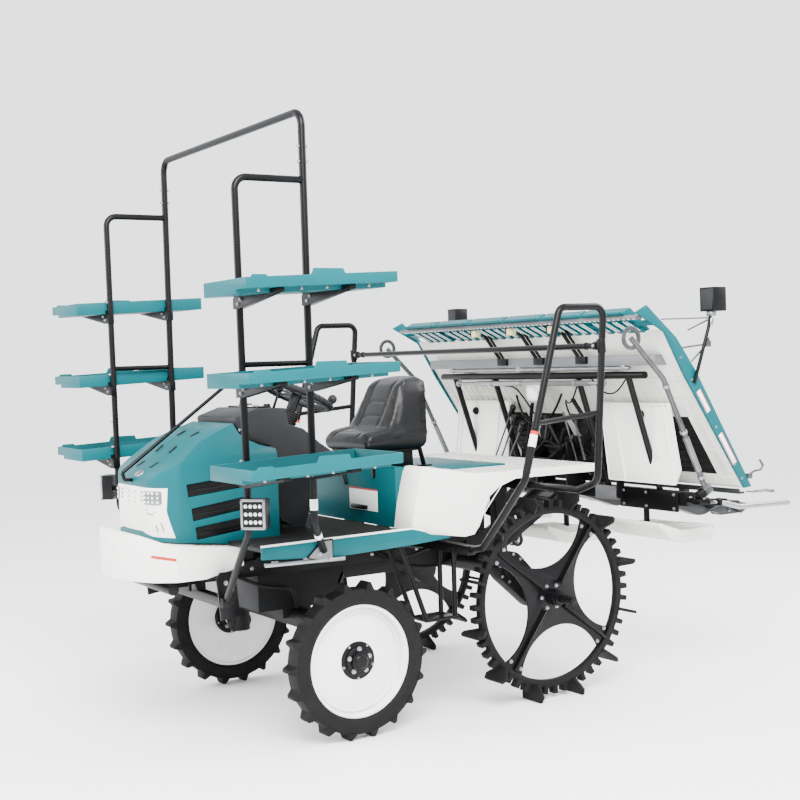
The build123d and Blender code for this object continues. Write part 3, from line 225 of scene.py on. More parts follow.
dull_steel = surface("dull_steel", (0.075, 0.077, 0.080), 0.38, metallic=0.85, mottle=0.25,
                     cloud=18.0, grain=0.12, grain_size=0.003)
seat_cover = surface("seat_cover", (0.0026, 0.0026, 0.0030), 0.38, mottle=0.20, grain=0.40,
                     grain_size=0.0020, shine=0.22)
float_shell = surface("float_shell", (0.60, 0.59, 0.54), 0.52, mottle=0.07, grain=0.15,
                      grain_size=0.003, shine=0.3)
grey_paint = surface("grey_paint", (0.012, 0.0125, 0.0135), 0.42, mottle=0.15, grain=0.10,
                     grain_size=0.003, shine=0.3)
plate_grey = surface("plate_grey", (0.13, 0.132, 0.136), 0.42, metallic=0.3, mottle=0.10,
                     grain=0.10, grain_size=0.003, shine=0.3)
tread_grey = surface("tread_grey", (0.36, 0.355, 0.34), 0.50, mottle=0.10, grain=0.15,
                     grain_size=0.002, shine=0.3)
pale_yellow = surface("pale_yellow", (0.62, 0.57, 0.30), 0.45, mottle=0.06, grain=0.10,
                      shine=0.3)
lamp_glass = surface("lamp_glass", (0.10, 0.115, 0.11), 0.14, mottle=0.25, cloud=60.0,
                     coat=0.5)
red_mark = surface("red_mark", (0.45, 0.020, 0.008), 0.45, mottle=0.06, shine=0.3)
print("finishes: 18")

# %% [markdown]
# ## Rounded edges
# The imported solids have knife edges. Real castings, tubes and mouldings do not, and it is
# the thin light along a rounded edge that makes a shape look made. A Bevel modifier would
# work on the solid's loose triangles, which share no corners. So each solid is copied, its
# triangles are joined into whole faces, and its sharp edges are bevelled.

# %% Helpers that finish a mesh


def sharp_edges(shape, angle=30):
    """The edges at which two faces meet at more than an angle."""
    return [edge for edge in shape.edges
            if len(edge.link_faces) == 2 and edge.calc_face_angle(0) > radians(angle)]


def round_edges(shape, width, segments=2):
    """Rolls the sharp edges of a shape over by a width."""
    bmesh.ops.bevel(shape, geom=sharp_edges(shape), offset=width, offset_type="OFFSET",
                    segments=segments, profile=0.5, affect="EDGES", clamp_overlap=True,
                    material=-1)


def smooth_mesh(name, shape, angle):
    """A smooth mesh of a shape, with creases where faces meet at more than an angle."""
    for face in shape.faces:
        face.smooth = True
    mesh = bpy.data.meshes.new(name)
    shape.to_mesh(mesh)
    shape.free()
    mesh.set_sharp_from_angle(angle=radians(angle))
    return mesh


def link_piece(name, mesh, body, material, *stands_for):
    """Puts a finished mesh in the scene, on its body and with its material."""
    piece = bpy.data.objects.new(name, mesh)
    bpy.context.scene.collection.objects.link(piece)
    mesh.materials.clear()
    mesh.materials.append(material)
    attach(piece, body)
    if stands_for:
        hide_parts(*stands_for)
    return piece


print("helpers: rounding, smoothing, linking")

# %% Edge rounding
same_corner = 2e-5
same_plane = radians(0.6)


def node_shape(node):
    """A copy of a CAD solid, with its loose triangles joined at their corners."""
    shape = bmesh.new()
    shape.from_mesh(frame["nodes"][node].data)
    bmesh.ops.remove_doubles(shape, verts=shape.verts, dist=same_corner)
    return shape


def dress(node, material, width):
    """The CAD solid with whole faces, rounded edges and a real finish."""
    shape = node_shape(node)
    bmesh.ops.dissolve_limit(shape, angle_limit=same_plane, verts=shape.verts,
                             edges=shape.edges, delimit={"NORMAL"})
    round_edges(shape, width)
    mesh = smooth_mesh(node + "_finished", shape, 30)
    return link_piece(node + "_finished", mesh, body_of_node[node], material, node)


print("faces are joined where they turn by less than", round(same_plane, 4), "rad")

# %% Finish and edge of every solid
# Each row: the CAD node, its finish and how wide its edges are rounded
plain_finishes = (
    ("chassis_frame", black_steel, 0.002), ("engine_block", cast_grey, 0.004),
    ("gearbox", cast_grey, 0.006), ("front_axle", cast_grey, 0.003),
    ("rear_axle", cast_grey, 0.004), ("bumper", cream, 0.004), ("console", dark_moulding, 0.005),
    ("control_levers", black_steel, 0.001), ("step_floor", dark_moulding, 0.002),
    ("floor_skirts", teal, 0.003), ("boarding_steps", black_steel, 0.001),
    ("seat_base", teal, 0.006), ("rear_deck", cream, 0.004), ("seat_frame", black_steel, 0.002),
    ("rack_sides", black_steel, 0.001),
    ("rack_arch", black_steel, 0.001), ("shelves", teal, 0.002),
    ("shelf_arms", black_steel, 0.002), ("work_lamps", black_steel, 0.003),
    ("hoops", black_steel, 0.001), ("guard_rail", black_steel, 0.001),
    ("hood_shell", teal, 0.003), ("hood_fascia", cream, 0.002), ("headlamps", lamp_glass, 0.002),
    ("centre_pole", black_steel, 0.001), ("steering_wheel", dark_moulding, 0.001),
    ("knuckle_left", cast_grey, 0.003), ("knuckle_right", cast_grey, 0.003),
    ("front_tyre_left", rubber, 0.004), ("front_tyre_right", rubber, 0.004),
    ("front_disc_left", disc_paint, 0.001), ("front_disc_right", disc_paint, 0.001),
    ("rear_tyre_left", rubber, 0.003), ("rear_tyre_right", rubber, 0.003),
    ("rear_spider_left", black_steel, 0.002), ("rear_spider_right", black_steel, 0.002),
    ("lower_link", black_steel, 0.002), ("upper_link", black_steel, 0.002),
    ("lift_barrel", black_steel, 0.002), ("lift_rod", zinc, 0.001),
    ("planter_frame", black_steel, 0.002), ("planting_cases", grey_paint, 0.004),
    ("mud_covers", cream, 0.001), ("floats", float_shell, 0.008), ("side_guards", zinc, 0.001),
    ("stand_tray", float_shell, 0.0015), ("stand_sides", teal, 0.002), ("stand_top", teal, 0.003),
    ("stand_beam", plate_grey, 0.003),
    ("feed_belts", rubber, 0.001), ("stand_lamps", black_steel, 0.002),
    ("planting_rotors", grey_paint, 0.002), ("marker_left", dull_steel, 0.001),
    ("marker_right", dull_steel, 0.001),
)
for node, material, width in plain_finishes:
    dress(node, material, width)
print("finished pieces:", len(plain_finishes))

# %% [markdown]
# ## Small turned and cut parts
# Bolts, pins, bars and plates come back hundreds of times. They could be linked copies of
# one object, but parts that belong together are easier to colour and move as one mesh. So
# each has a maker that adds it to a shape under way. A bolt is a hexagon on a washer, both
# pushed up from the surface that it holds.

# %% Makers of small parts


def facing(direction):
    """A turn that takes +Z to a direction."""
    return Vector(direction).normalized().to_track_quat("Z", "Y").to_matrix().to_4x4()


def raised(place, height):
    """A place moved up along its own Z."""
    return place @ Matrix.Translation((0, 0, height))


def turned_into(shape, place, foot_radius, top_radius, depth, segments):
    """A turned disc or cone, closed at both ends, about the middle of a place."""
    bmesh.ops.create_cone(shape, cap_ends=True, segments=segments, radius1=foot_radius,
                          radius2=top_radius, depth=depth, matrix=place)


def ball_into(shape, place, radius, around, rings):
    """A ball at a place, with so many faces around and so many rings."""
    bmesh.ops.create_uvsphere(shape, u_segments=around, v_segments=rings, radius=radius,
                              matrix=place)


def bolt_into(shape, place, direction, size):
    """A hexagon head on its washer, pushed up from a surface."""
    foot = Matrix.Translation(Vector(place)) @ facing(direction)
    turned_into(shape, raised(foot, size * 0.12), size * 1.25, size * 1.2, size * 0.24, 20)
    turned_into(shape, raised(foot, size * 0.58), size, size * 0.94, size * 0.72, 6)


def bar_into(shape, start, end, radius, segments=16):
    """A straight round bar between two points."""
    run = Vector(end) - Vector(start)
    middle = Matrix.Translation((Vector(start) + Vector(end)) / 2) @ facing(run)
    turned_into(shape, middle, radius, radius, run.length, segments)


def block_into(shape, low, high, turn=None):
    """A block between two corners, with an optional turn about its own middle."""
    low, high = Vector(low), Vector(high)
    size = Matrix.Diagonal((*(high - low), 1))
    place = Matrix.Translation((low + high) / 2) @ (turn or Matrix.Identity(4)) @ size
    return bmesh.ops.create_cube(shape, size=1, matrix=place)["verts"]


def close_piece(name, shape, body, material, round_by=0.0):
    """Rounds a shape's edges, smooths it and puts it in the scene."""
    if round_by:
        round_edges(shape, round_by)
    bmesh.ops.recalc_face_normals(shape, faces=shape.faces)
    return link_piece(name, smooth_mesh(name, shape, 35), body, material)


print("makers: bolts, bars, blocks and turned parts")

# %% Maker of cables and hoses


def frozen_mesh(source):
    """The mesh that an object shows, with its modifiers or its thickness."""
    bpy.context.view_layer.update()
    return bpy.data.meshes.new_from_object(
        source.evaluated_get(bpy.context.evaluated_depsgraph_get()))


def wire_piece(name, points, radius, body, material):
    """A cable or hose: a smooth curve drawn by points, turned into a mesh."""
    curve = bpy.data.curves.new(name + "_line", "CURVE")
    curve.dimensions = "3D"
    curve.bevel_depth = radius
    curve.bevel_resolution = 3
    curve.use_fill_caps = True
    curve.resolution_u = 8
    line = curve.splines.new("NURBS")
    line.points.add(len(points) - 1)
    for number, place in enumerate(points):
        line.points[number].co = (*place, 1)
    line.order_u = 3
    line.use_endpoint_u = True
    guide = bpy.data.objects.new(name + "_line", curve)
    bpy.context.scene.collection.objects.link(guide)
    mesh = frozen_mesh(guide)
    bpy.data.objects.remove(guide)
    mesh.name = name
    for polygon in mesh.polygons:
        polygon.use_smooth = True
    link_piece(name, mesh, body, material)


def wire_pieces(body, material, routes):
    """Several cables of one body. Each row: name, radius and the curve's points."""
    for name, radius, points in routes:
        wire_piece(name, points, radius, body, material)
    print("cables and hoses:", ", ".join(route[0] for route in routes))


print("maker: cables and hoses")

# %% [markdown]
# ## Places that come back
# Wheels, markers, posts, shelves and rows carry small parts in several steps. Their places
# could be typed in at each step, and would then drift apart. The joints' own pivots give
# the wheels' and the markers' centres, and the rest is named once here.

# %% Pivots, posts, shelves and rows
pivot = {joint["name"]: joint["pos_m"] for joint in frame["record"]["behaviour"]["joints"]}
two_sides = (("left", 1), ("right", -1))
front_wheel_y = pivot["spin_front_left"][1]
rear_wheel_x, rear_wheel_y, _ = pivot["spin_rear_left"]
front_post_x = 1.170
rear_post_x = 0.873
post_y = 0.703
shelf_levels = (1.816, 1.478, 1.134)
shelf_middle_x = 0.9915
shelf_length = 0.630
shelf_drop = 0.026
row_middles = [(row - 2.5) * 0.300 for row in range(6)]


def shelf_rise(x):
    """How far a shelf's floor lies above its low front end."""
    return shelf_drop * (shelf_middle_x + shelf_length / 2 - x) / shelf_length


print("shelves at", shelf_levels, "rows at", [round(y, 2) for y in row_middles])

# %% [markdown]
# ## Seat
# The seat is one foam moulding under black vinyl, with raised bolsters at its sides and sewn
# channels in its back and cushion. It could be sculpted, or built from a smooth cage. A
# remeshed copy of the solid keeps its true outline instead, and a short cloth run blows it
# up a little, so that its sides swell between the corners. The channels are pressed in
# afterwards, because the remesh would have wiped them out.

# %% Foam shape from the solid
foam = node_shape("seat")
seat_middle = Vector((0.140, 0, 1.280))
foam_share = 0.985
for vertex in foam.verts:
    vertex.co = seat_middle + (vertex.co - seat_middle) * foam_share
foam_mesh = bpy.data.meshes.new("seat_foam")
foam.to_mesh(foam_mesh)
foam.free()
foam_object = bpy.data.objects.new("seat_foam", foam_mesh)
bpy.context.scene.collection.objects.link(foam_object)
remesh = foam_object.modifiers.new("even_mesh", "REMESH")
remesh.mode = "VOXEL"
remesh.voxel_size = 0.007
rounding = foam_object.modifiers.new("rounding", "SMOOTH")
rounding.factor = 0.5
rounding.iterations = 14
even_mesh = frozen_mesh(foam_object)
foam_object.modifiers.clear()
foam_object.data = even_mesh
print("foam points:", len(even_mesh.vertices))

# %% Cloth run: the cover swells over the foam
start = [vertex.co.copy() for vertex in even_mesh.vertices]
swell_cap = 0.004
cloth_frames = 20
cover = foam_object.modifiers.new("cover", "CLOTH")
cover.settings.use_pressure = True
cover.settings.uniform_pressure_force = 2.5
cover.settings.tension_stiffness = 40
cover.settings.bending_stiffness = 6
cover.settings.effector_weights.gravity = 0.0
cover.settings.quality = 5
for step in range(1, cloth_frames + 1):
    bpy.context.scene.frame_set(step)
swollen = frozen_mesh(foam_object)
foam_object.modifiers.clear()
for vertex, before, after in zip(even_mesh.vertices, start, swollen.vertices):
    move = after.co - before
    if move.length > swell_cap:
        move = move.normalized() * swell_cap
    vertex.co = before + move
bpy.data.meshes.remove(swollen)
bpy.context.scene.frame_set(1)
print("cover blown up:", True)

# %% Where channels and bolsters lie
back_foot, back_top = 1.236, 1.462
cushion_rear, cushion_front, cushion_top = 0.150, 0.322, 1.262


def groove(distance, width, depth):
    """How deep a sewn channel is at a distance from its line."""
    return depth * max(0.0, 1.0 - (distance / width) ** 2) ** 2


def pressed(place, out):
    """How far a point of the cover moves along its own facing."""
    across = abs(place.y)
    shift = 0.0
    if place.z > back_foot and out.x > 0.25:
        fade = (min(1.0, (place.z - back_foot) / 0.030)
                * min(1.0, max(0.0, (back_top - place.z) / 0.030)))
        shift -= fade * groove(across - 0.082 + 0.030 * (place.z - 1.34), 0.011, 0.0075)
        if across < 0.080:
            shift -= fade * groove(place.z - 1.292, 0.009, 0.0060)
            shift -= fade * groove(place.z - 1.356, 0.009, 0.0060)
            shift += fade * 0.0020 * cos(across / 0.082 * pi / 2)
        else:
            shift += fade * groove(across - 0.122, 0.040, 0.0070)
    elif out.z > 0.45 and place.x > cushion_rear and place.z < cushion_top:
        fade = (min(1.0, (place.x - cushion_rear) / 0.030)
                * min(1.0, max(0.0, (cushion_front - place.x) / 0.020)))
        shift -= fade * groove(across - 0.104, 0.011, 0.0070)
        if across < 0.100:
            shift -= fade * groove(place.x - 0.228, 0.008, 0.0050)
            shift -= fade * groove(place.x - 0.282, 0.008, 0.0050)
        else:
            shift += fade * groove(across - 0.150, 0.042, 0.0060)
    elif abs(out.y) > 0.6:
        shift -= groove(place.z - 1.186 + 0.10 * (place.x - 0.2), 0.006, 0.0035) * (place.x > 0.05)
    return shift


print("deepest channel:", groove(0, 1, 0.0075), "m")

# %% Settle the cover and press the channels in
foam_object.data = even_mesh
settle = foam_object.modifiers.new("settle", "SMOOTH")
settle.factor = 0.5
settle.iterations = 10
even_mesh = frozen_mesh(foam_object)
foam_object.modifiers.clear()
foam_object.data = even_mesh
moves = [pressed(vertex.co, vertex.normal) * vertex.normal for vertex in even_mesh.vertices]
for vertex, move in zip(even_mesh.vertices, moves):
    vertex.co += move
finer = foam_object.modifiers.new("finer", "SUBSURF")
finer.levels = 1
finer.render_levels = 1
seat_mesh = frozen_mesh(foam_object)
bpy.data.objects.remove(foam_object)
for polygon in seat_mesh.polygons:
    polygon.use_smooth = True
seat_mesh.name = "seat_pad"
seat_pad = link_piece("seat_pad", seat_mesh, "chassis", seat_cover, "seat")
print("seat triangles:", 2 * len(seat_mesh.polygons))

# %% Seat pan, springs and back link
pan = bmesh.new()
block_into(pan, (0.030, -0.165, 1.1280), (0.300, 0.165, 1.1385))
for side in (-1, 1):
    for x in (0.085, 0.255):
        for turn_number in range(7):
            z = 1.092 + 0.0052 * turn_number
            bar_into(pan, (x, side * 0.082, z), (x, side * 0.082, z + 0.0026), 0.0175, 20)
    bar_into(pan, (0.004, side * 0.120, 1.185), (-0.032, side * 0.120, 1.052), 0.0110, 14)
    block_into(pan, (-0.062, side * 0.120 - 0.022, 1.0488), (-0.006, side * 0.120 + 0.022, 1.0560))
bar_into(pan, (0.300, -0.120, 1.112), (0.300, 0.120, 1.112), 0.0070, 14)
bar_into(pan, (0.300, 0.110, 1.112), (0.335, 0.128, 1.106), 0.0065, 14)
close_piece("seat_pan", pan, "chassis", black_steel, 0.0015)
print("seat pan and links")

# %% [markdown]
# ## Front wheel hubs
# Each white disc is a pressing with a rolled lip, held by five bolts round a black hub with
# a domed cap. The lip could be a torus primitive, but that has no bmesh operator, and a
# small circle spun round the wheel's axis gives the same ring. Hub and bolts are stacked
# along that axis too, on both faces of the disc.

# %% Hubs, lips and nuts of the front wheels
collar_foot = 0.010
for side_name, side in two_sides:
    low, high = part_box(f"front_disc_{side_name}")
    centre = (low + high) / 2
    axle_end = Vector((centre.x, side * front_wheel_y, centre.z))
    hub = bmesh.new()
    lip = bmesh.new()
    nuts = bmesh.new()
    for way in (-1, 1):
        turn = Matrix.Translation(axle_end) @ facing((0, way, 0))
        for radius, top, foot, head in ((0.082, 0.078, 0.004, 0.016), (0.062, 0.058, 0.016, 0.026)):
            turned_into(hub, raised(turn, (head + foot) / 2), radius, top, head - foot, 48)
        if way == side:
            reach = max(high.y, -low.y) - front_wheel_y + 0.0015
            turned_into(hub, raised(turn, (reach + collar_foot) / 2), 0.0405, 0.0400,
                        reach - collar_foot, 48)
            turned_into(hub, raised(turn, reach + 0.004), 0.034, 0.024, 0.010, 40)
        for ring, thick in ((0.226, 0.006), (0.206, 0.0025)):
            bmesh.ops.create_circle(lip, segments=10, radius=thick, matrix=turn
                                    @ Matrix.Translation((ring, 0, 0.0045))
                                    @ Matrix.Rotation(radians(90), 4, "X"))
        for number in range(5):
            angle = radians(90 + 72 * number)
            place = turn @ Vector((0.049 * cos(angle), 0.049 * sin(angle), 0.026))
            bolt_into(nuts, place, (0, way, 0), 0.0085)
            place = turn @ Vector((0.072 * cos(angle + 0.6), 0.072 * sin(angle + 0.6), 0.016))
            bolt_into(nuts, place, (0, way, 0), 0.0045)
    bmesh.ops.spin(lip, geom=list(lip.edges), cent=axle_end, axis=(0, 1, 0),
                   angle=2 * pi, steps=72, use_merge=True)
    close_piece(f"hub_plate_{side_name}", hub, f"front_wheel_{side_name}", black_steel, 0.002)
    close_piece(f"disc_lip_{side_name}", lip, f"front_wheel_{side_name}", disc_paint)
    close_piece(f"hub_nuts_{side_name}", nuts, f"front_wheel_{side_name}", zinc, 0.0008)
print("front hubs: 2")

# %% [markdown]
# ## Rear wheel fittings
# The four arms are bolted to lugs on the ring, and the hub carries six bolts and a stub with
# stepped collars, over which an extra flotation wheel is slid. One arm could be dressed and
# copied. A loop over the arms' angles does the same, and with the side as a sign it makes
# both wheels alike.

# %% Bolts and collars of the rear wheels
for side_name, side in two_sides:
    low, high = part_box(f"rear_tyre_{side_name}")
    centre = Vector((rear_wheel_x, side * rear_wheel_y, (low.z + high.z) / 2))
    steel = bmesh.new()
    plates = bmesh.new()
    for arm in range(4):
        angle = radians(53 + 90 * arm)
        out = Vector((cos(angle), 0, -sin(angle)))
        along = Vector((-out.z, 0, out.x))
        for shift in (-0.034, 0.034):
            place = centre + out * 0.352 + along * shift + Vector((0, side * 0.005, 0))
            bolt_into(steel, place, (0, side, 0), 0.0075)
        bar_into(plates, centre + out * 0.070 + Vector((0, side * 0.026, 0)),
                 centre + out * 0.360 + Vector((0, side * 0.020, 0)), 0.0075, 12)
    for number in range(6):
        angle = radians(60 * number)
        place = centre + Vector((0.055 * cos(angle), side * 0.005, 0.055 * sin(angle)))
        bolt_into(steel, place, (0, side, 0), 0.0075)
    for foot, length, radius in ((0.060, 0.012, 0.030), (0.088, 0.010, 0.021),
                                 (0.112, 0.008, 0.020), (0.150, 0.010, 0.019)):
        bar_into(plates, centre + Vector((0, side * foot, 0)),
                 centre + Vector((0, side * (foot + length), 0)), radius, 28)
    close_piece(f"rear_bolts_{side_name}", steel, f"rear_wheel_{side_name}", zinc, 0.0007)
    close_piece(f"rear_collars_{side_name}", plates, f"rear_wheel_{side_name}", black_steel,
                0.0012)
print("rear wheels dressed: 2")

# %% [markdown]
# ## Hood: louvres, slots and badge plate
# Behind each slanted vent lies a black grille. Short slots let air out along the crest, and
# a bare oval plate sits on the nose. Slots could be cut with a Boolean, which leaves long
# thin faces on a curved shell. Thin dark blocks laid in the surface look the same from a
# step away and leave the shell clean.

# %% Grilles behind the vents
grille = bmesh.new()
vent_y = 0.2655
for front_x, front_z, back_x, back_z in ((1.226, 1.040, 0.946, 1.066),
                                         (1.208, 0.940, 0.951, 0.973),
                                         (1.193, 0.862, 0.956, 0.888)):
    for side in (-1, 1):
        slope = atan2(back_z - front_z, front_x - back_x)
        length = front_x - back_x + 0.012
        middle = Vector(((front_x + back_x) / 2, side * vent_y, (front_z + back_z) / 2))
        turn = Matrix.Rotation(slope, 4, "Y")
        block_into(grille, middle - Vector((length / 2, 0.0035, 0.034)),
                   middle + Vector((length / 2, 0.0035, 0.034)), turn)
        for rung in range(3):
            lift = -0.016 + 0.016 * rung
            place = middle + turn @ Vector((0, side * 0.0055, lift))
            block_into(grille, place - Vector((length / 2 - 0.012, 0.002, 0.0018)),
                       place + Vector((length / 2 - 0.012, 0.002, 0.0018)), turn)
close_piece("vent_grilles", grille, "hood", black_steel, 0.0006)
print("grilles: 6")

# %% Slots and plate on the crest
slots = bmesh.new()
badge = bmesh.new()
for x, z, slope in ((1.286, 1.1415, 29.0), (1.200, 1.2015, 37.0), (1.098, 1.2605, 24.0)):
    for side in (-1, 1):
        turn = Matrix.Rotation(radians(slope), 4, "Y")
        block_into(slots, Vector((x - 0.021, side * 0.074 - 0.011, z - 0.001)),
                   Vector((x + 0.021, side * 0.074 + 0.011, z + 0.001)), turn)
oval = Matrix.Diagonal((0.62, 1.0, 1.0, 1.0))
turn = Matrix.Translation((1.3425, 0.050, 1.1100)) @ Matrix.Rotation(radians(36), 4, "Y")
turned_into(badge, turn @ oval, 0.034, 0.031, 0.004, 40)
close_piece("crest_slots", slots, "hood", black_steel, 0.0006)
close_piece("badge_plate", badge, "hood", zinc, 0.001)
print("hood fittings: 3")

# %% [markdown]
# ## Headlamps and fascia marks
# The lamps are square glass blocks with a grid of small diodes. The fascia has a stack of
# marks and moulded slits beside and under each lamp. The nose is curved, so a mark at a
# fixed place would float or sink. A ray from the front finds the surface under each mark,
# and each diode is turned the way the surface faces.

# %% Rays that find a surface


def surface_finder(node):
    """Gives a function that looks for a node's surface, along X unless told otherwise."""
    shape = bmesh.new()
    shape.from_mesh(frame["nodes"][node].data)
    tree = BVHTree.FromBMesh(shape)
    shape.free()

    def find(y, z, x=2.0, run=(-1, 0, 0)):
        place, facing_out, _, _ = tree.ray_cast(Vector((x, y, z)), Vector(run))
        return place, facing_out

    return find


lens_at = surface_finder("headlamps")
fascia_at = surface_finder("hood_fascia")
bumper_at = surface_finder("bumper")
print("nose of the bumper at x =", round(bumper_at(0, 0.790)[0].x, 3))

# %% Headlamp diodes and fascia slits
diodes = bmesh.new()
seams = bmesh.new()
for side in (-1, 1):
    for column in range(4):
        for row in range(3):
            place, out = lens_at(side * (0.154 + 0.022 * column), 0.998 + 0.018 * row)
            if place:
                turned_into(diodes, Matrix.Translation(place) @ facing(out), 0.0066, 0.0042,
                            0.003, 14)
    for y, z, height in ((0.112, 1.036, 0.009), (0.112, 1.018, 0.007), (0.112, 1.002, 0.010),
                         (0.036, 1.034, 0.006), (0.036, 1.010, 0.004), (0.036, 0.992, 0.004)):
        place, _ = fascia_at(side * y, z)
        if place:
            block_into(seams, place - Vector((0.001, 0.005, height / 2)),
                       place + Vector((0.001, 0.005, height / 2)))
    for start, end in (((0.150, 0.966), (0.205, 0.958)), ((0.158, 0.952), (0.196, 0.946)),
                       ((0.205, 0.906), (0.214, 0.878)), ((0.226, 0.914), (0.236, 0.880))):
        first, _ = fascia_at(side * start[0], start[1])
        last, _ = fascia_at(side * end[0], end[1])
        if first and last:
            bar_into(seams, first, last, 0.0022, 8)
close_piece("headlamp_diodes", diodes, "hood", disc_paint)
close_piece("fascia_marks", seams, "hood", dark_moulding)
print("headlamp diodes: 24")

# %% [markdown]
# ## Work lamps
# Each is a black ribbed box turned outward, with a bright frame and three rows of four
# diodes on a dark face. Corners of a turned box are hard to write down. So the lamp is drawn
# straight about its own pivot, and one matrix then turns every part of it into place.

# %% Work lamp faces, frames and fins
lamp_turn = radians(42)
faces = bmesh.new()
frames = bmesh.new()
diodes = bmesh.new()
fins = bmesh.new()
for side in (-1, 1):
    lamp_fork = Vector((front_post_x, side * 0.787, 0.985))
    turn = Matrix.Translation(lamp_fork) @ Matrix.Rotation(side * lamp_turn, 4, "Z")

    def lamp_block(shape, low, high):
        """A block drawn on the straight lamp and turned with it."""
        for corner in block_into(shape, low, high):
            corner.co = turn @ corner.co

    lamp_block(faces, (0.0235, -0.040, -0.049), (0.0255, 0.040, 0.049))
    for z in (-0.053, 0.053):
        lamp_block(frames, (0.020, -0.049, z - 0.005), (0.0285, 0.049, z + 0.005))
    for y in (-0.0445, 0.0445):
        lamp_block(frames, (0.020, y - 0.0045, -0.058), (0.0285, y + 0.0045, 0.058))
    for column in range(4):
        for row in range(3):
            place = turn @ Vector((0.026, -0.029 + 0.0193 * column, -0.030 + 0.030 * row))
            spot = Matrix.Translation(place) @ facing(turn.to_3x3() @ Vector((1, 0, 0)))
            turned_into(diodes, spot, 0.0088, 0.0052, 0.004, 16)
    for number in range(7):
        z = -0.042 + 0.014 * number
        lamp_block(fins, (-0.036, -0.044, z - 0.002), (-0.028, 0.044, z + 0.002))
close_piece("work_lamp_faces", faces, "chassis", cast_grey)
close_piece("work_lamp_frames", frames, "chassis", zinc, 0.0015)
close_piece("work_lamp_diodes", diodes, "chassis", disc_paint)
close_piece("work_lamp_fins", fins, "chassis", black_steel)
print("work lamps: 2")

# %% [markdown]
# ## Bumper, floor and skirts
# A red stripe marks the bumper's corner, its top carries a speckled tread, and a white strip
# closes the floor mat's edge over the teal skirt. The stripe could be a mask in the paint.
# As a strip of short blocks, laid where rays meet the bumper, it also shows in the mesh
# alone. The mat's fine ribs stop where the console and the hood stand.

# %% Stripe and tread of the bumper
stripe = bmesh.new()
specks = bmesh.new()
for side in (-1, 1):
    last = None
    for step in range(11):
        place, _ = bumper_at(side * (0.890 + 0.0145 * step), 0.790 - 0.0015 * step,
                             run=Vector((-1, -side, 0)).normalized())
        if place and last:
            run = place - last
            half = Vector((run.length / 2 + 0.001, 0.0012, 0.0058))
            block_into(stripe, (place + last) / 2 - half, (place + last) / 2 + half,
                       Matrix.Rotation(atan2(run.y, run.x), 4, "Z"))
        last = place
    for column in range(14):
        for row in range(4):
            x = 1.040 + 0.0140 * column
            y = side * (0.297 + 0.0135 * row + 0.005 * (column % 2))
            place, _ = bumper_at(y, 1.2, x, (0, 0, -1))
            tilt = Matrix.Rotation(radians(40 if (column + row) % 2 else -40), 4, "Z")
            if place:
                block_into(specks, place - Vector((0.0065, 0.0024, 0.001)),
                           place + Vector((0.0065, 0.0024, 0.0016)), tilt)
close_piece("bumper_stripe", stripe, "chassis", red_mark)
close_piece("bumper_tread", specks, "chassis", tread_grey)
print("bumper: stripe and tread")

# %% Floor edging and skirt rods
edging = bmesh.new()
rod = bmesh.new()
for side in (-1, 1):
    edge_y = side * 0.613
    bar_into(edging, (1.066, edge_y, 0.828), (0.362, edge_y, 0.8345), 0.0062, 12)
    bar_into(edging, (0.362, edge_y, 0.8345), (0.305, edge_y, 0.8205), 0.0062, 12)
    bar_into(rod, (1.060, side * 0.628, 0.757), (0.700, side * 0.628, 0.748), 0.0085, 16)
    for x in (1.010, 0.870):
        block_into(rod, (x - 0.012, side * 0.617 - 0.008, 0.748),
                   (x + 0.012, side * 0.617 + 0.008, 0.768))
close_piece("floor_edging", edging, "chassis", cream)
close_piece("skirt_rods", rod, "chassis", zinc, 0.001)
print("floor edging and skirt rods: 2 each")

# %% Ribs on the floor mat
ribs = bmesh.new()
rib_count = 48
mat_edge_y = 0.598
console_back_x, console_half = 0.585, 0.118
hood_back_x, hood_half = 0.790, 0.300
for number in range(rib_count):
    x = 0.356 + 0.700 * number / (rib_count - 1)
    if x < console_back_x:
        spans = ((-mat_edge_y, mat_edge_y),)
    elif x < hood_back_x:
        spans = ((-mat_edge_y, -console_half), (console_half, mat_edge_y))
    else:
        spans = ((-mat_edge_y, -hood_half), (hood_half, mat_edge_y))
    for low_y, high_y in spans:
        block_into(ribs, (x - 0.0040, low_y, 0.8195), (x + 0.0040, high_y, 0.8228))
close_piece("floor_ribs", ribs, "chassis", mat_rubber, 0.0010)
print("floor ribs:", rib_count)

# %% Foot pedals
pedals = bmesh.new()
for y, z in ((0.205, 0.835), (-0.205, 0.835), (-0.300, 0.835)):
    tilt = Matrix.Rotation(radians(-32), 4, "Y")
    block_into(pedals, (0.735, y - 0.032, z + 0.028), (0.785, y + 0.032, z + 0.038), tilt)
    bar_into(pedals, (0.762, y, z + 0.030), (0.800, y, z - 0.012), 0.007, 12)
close_piece("foot_pedals", pedals, "chassis", black_steel, 0.002)
print("pedals: 3")

# %% [markdown]
# ## Deck treads
# The deck has pads of small raised bars that keep boots from slipping, on both sides of the
# teal panel and behind it, and three drain notches over each fender. A bump in the paint
# would give the bars no edge against the light. They are real bars on a grid, leaned left
# and right in turn, and the grid skips the panel.

# %% Tread bars on the deck
treads = bmesh.new()
panel_back_x, panel_half = -0.372, 0.352
tread_z = 1.0418
for column in range(23):
    for row in range(10):
        for side in (-1, 1):
            x = -0.648 + 0.0290 * column
            y = side * (0.030 + 0.0580 * row)
            if x > panel_back_x and abs(y) < panel_half:
                continue
            lean = Matrix.Rotation(radians(35 if (column + row) % 2 else -35), 4, "Z")
            place = Vector((x, y, tread_z))
            block_into(treads, place - Vector((0.0110, 0.0034, 0.0022)),
                       place + Vector((0.0110, 0.0034, 0.0022)), lean)
close_piece("deck_treads", treads, "chassis", tread_grey, 0.001)
print("deck treads laid")

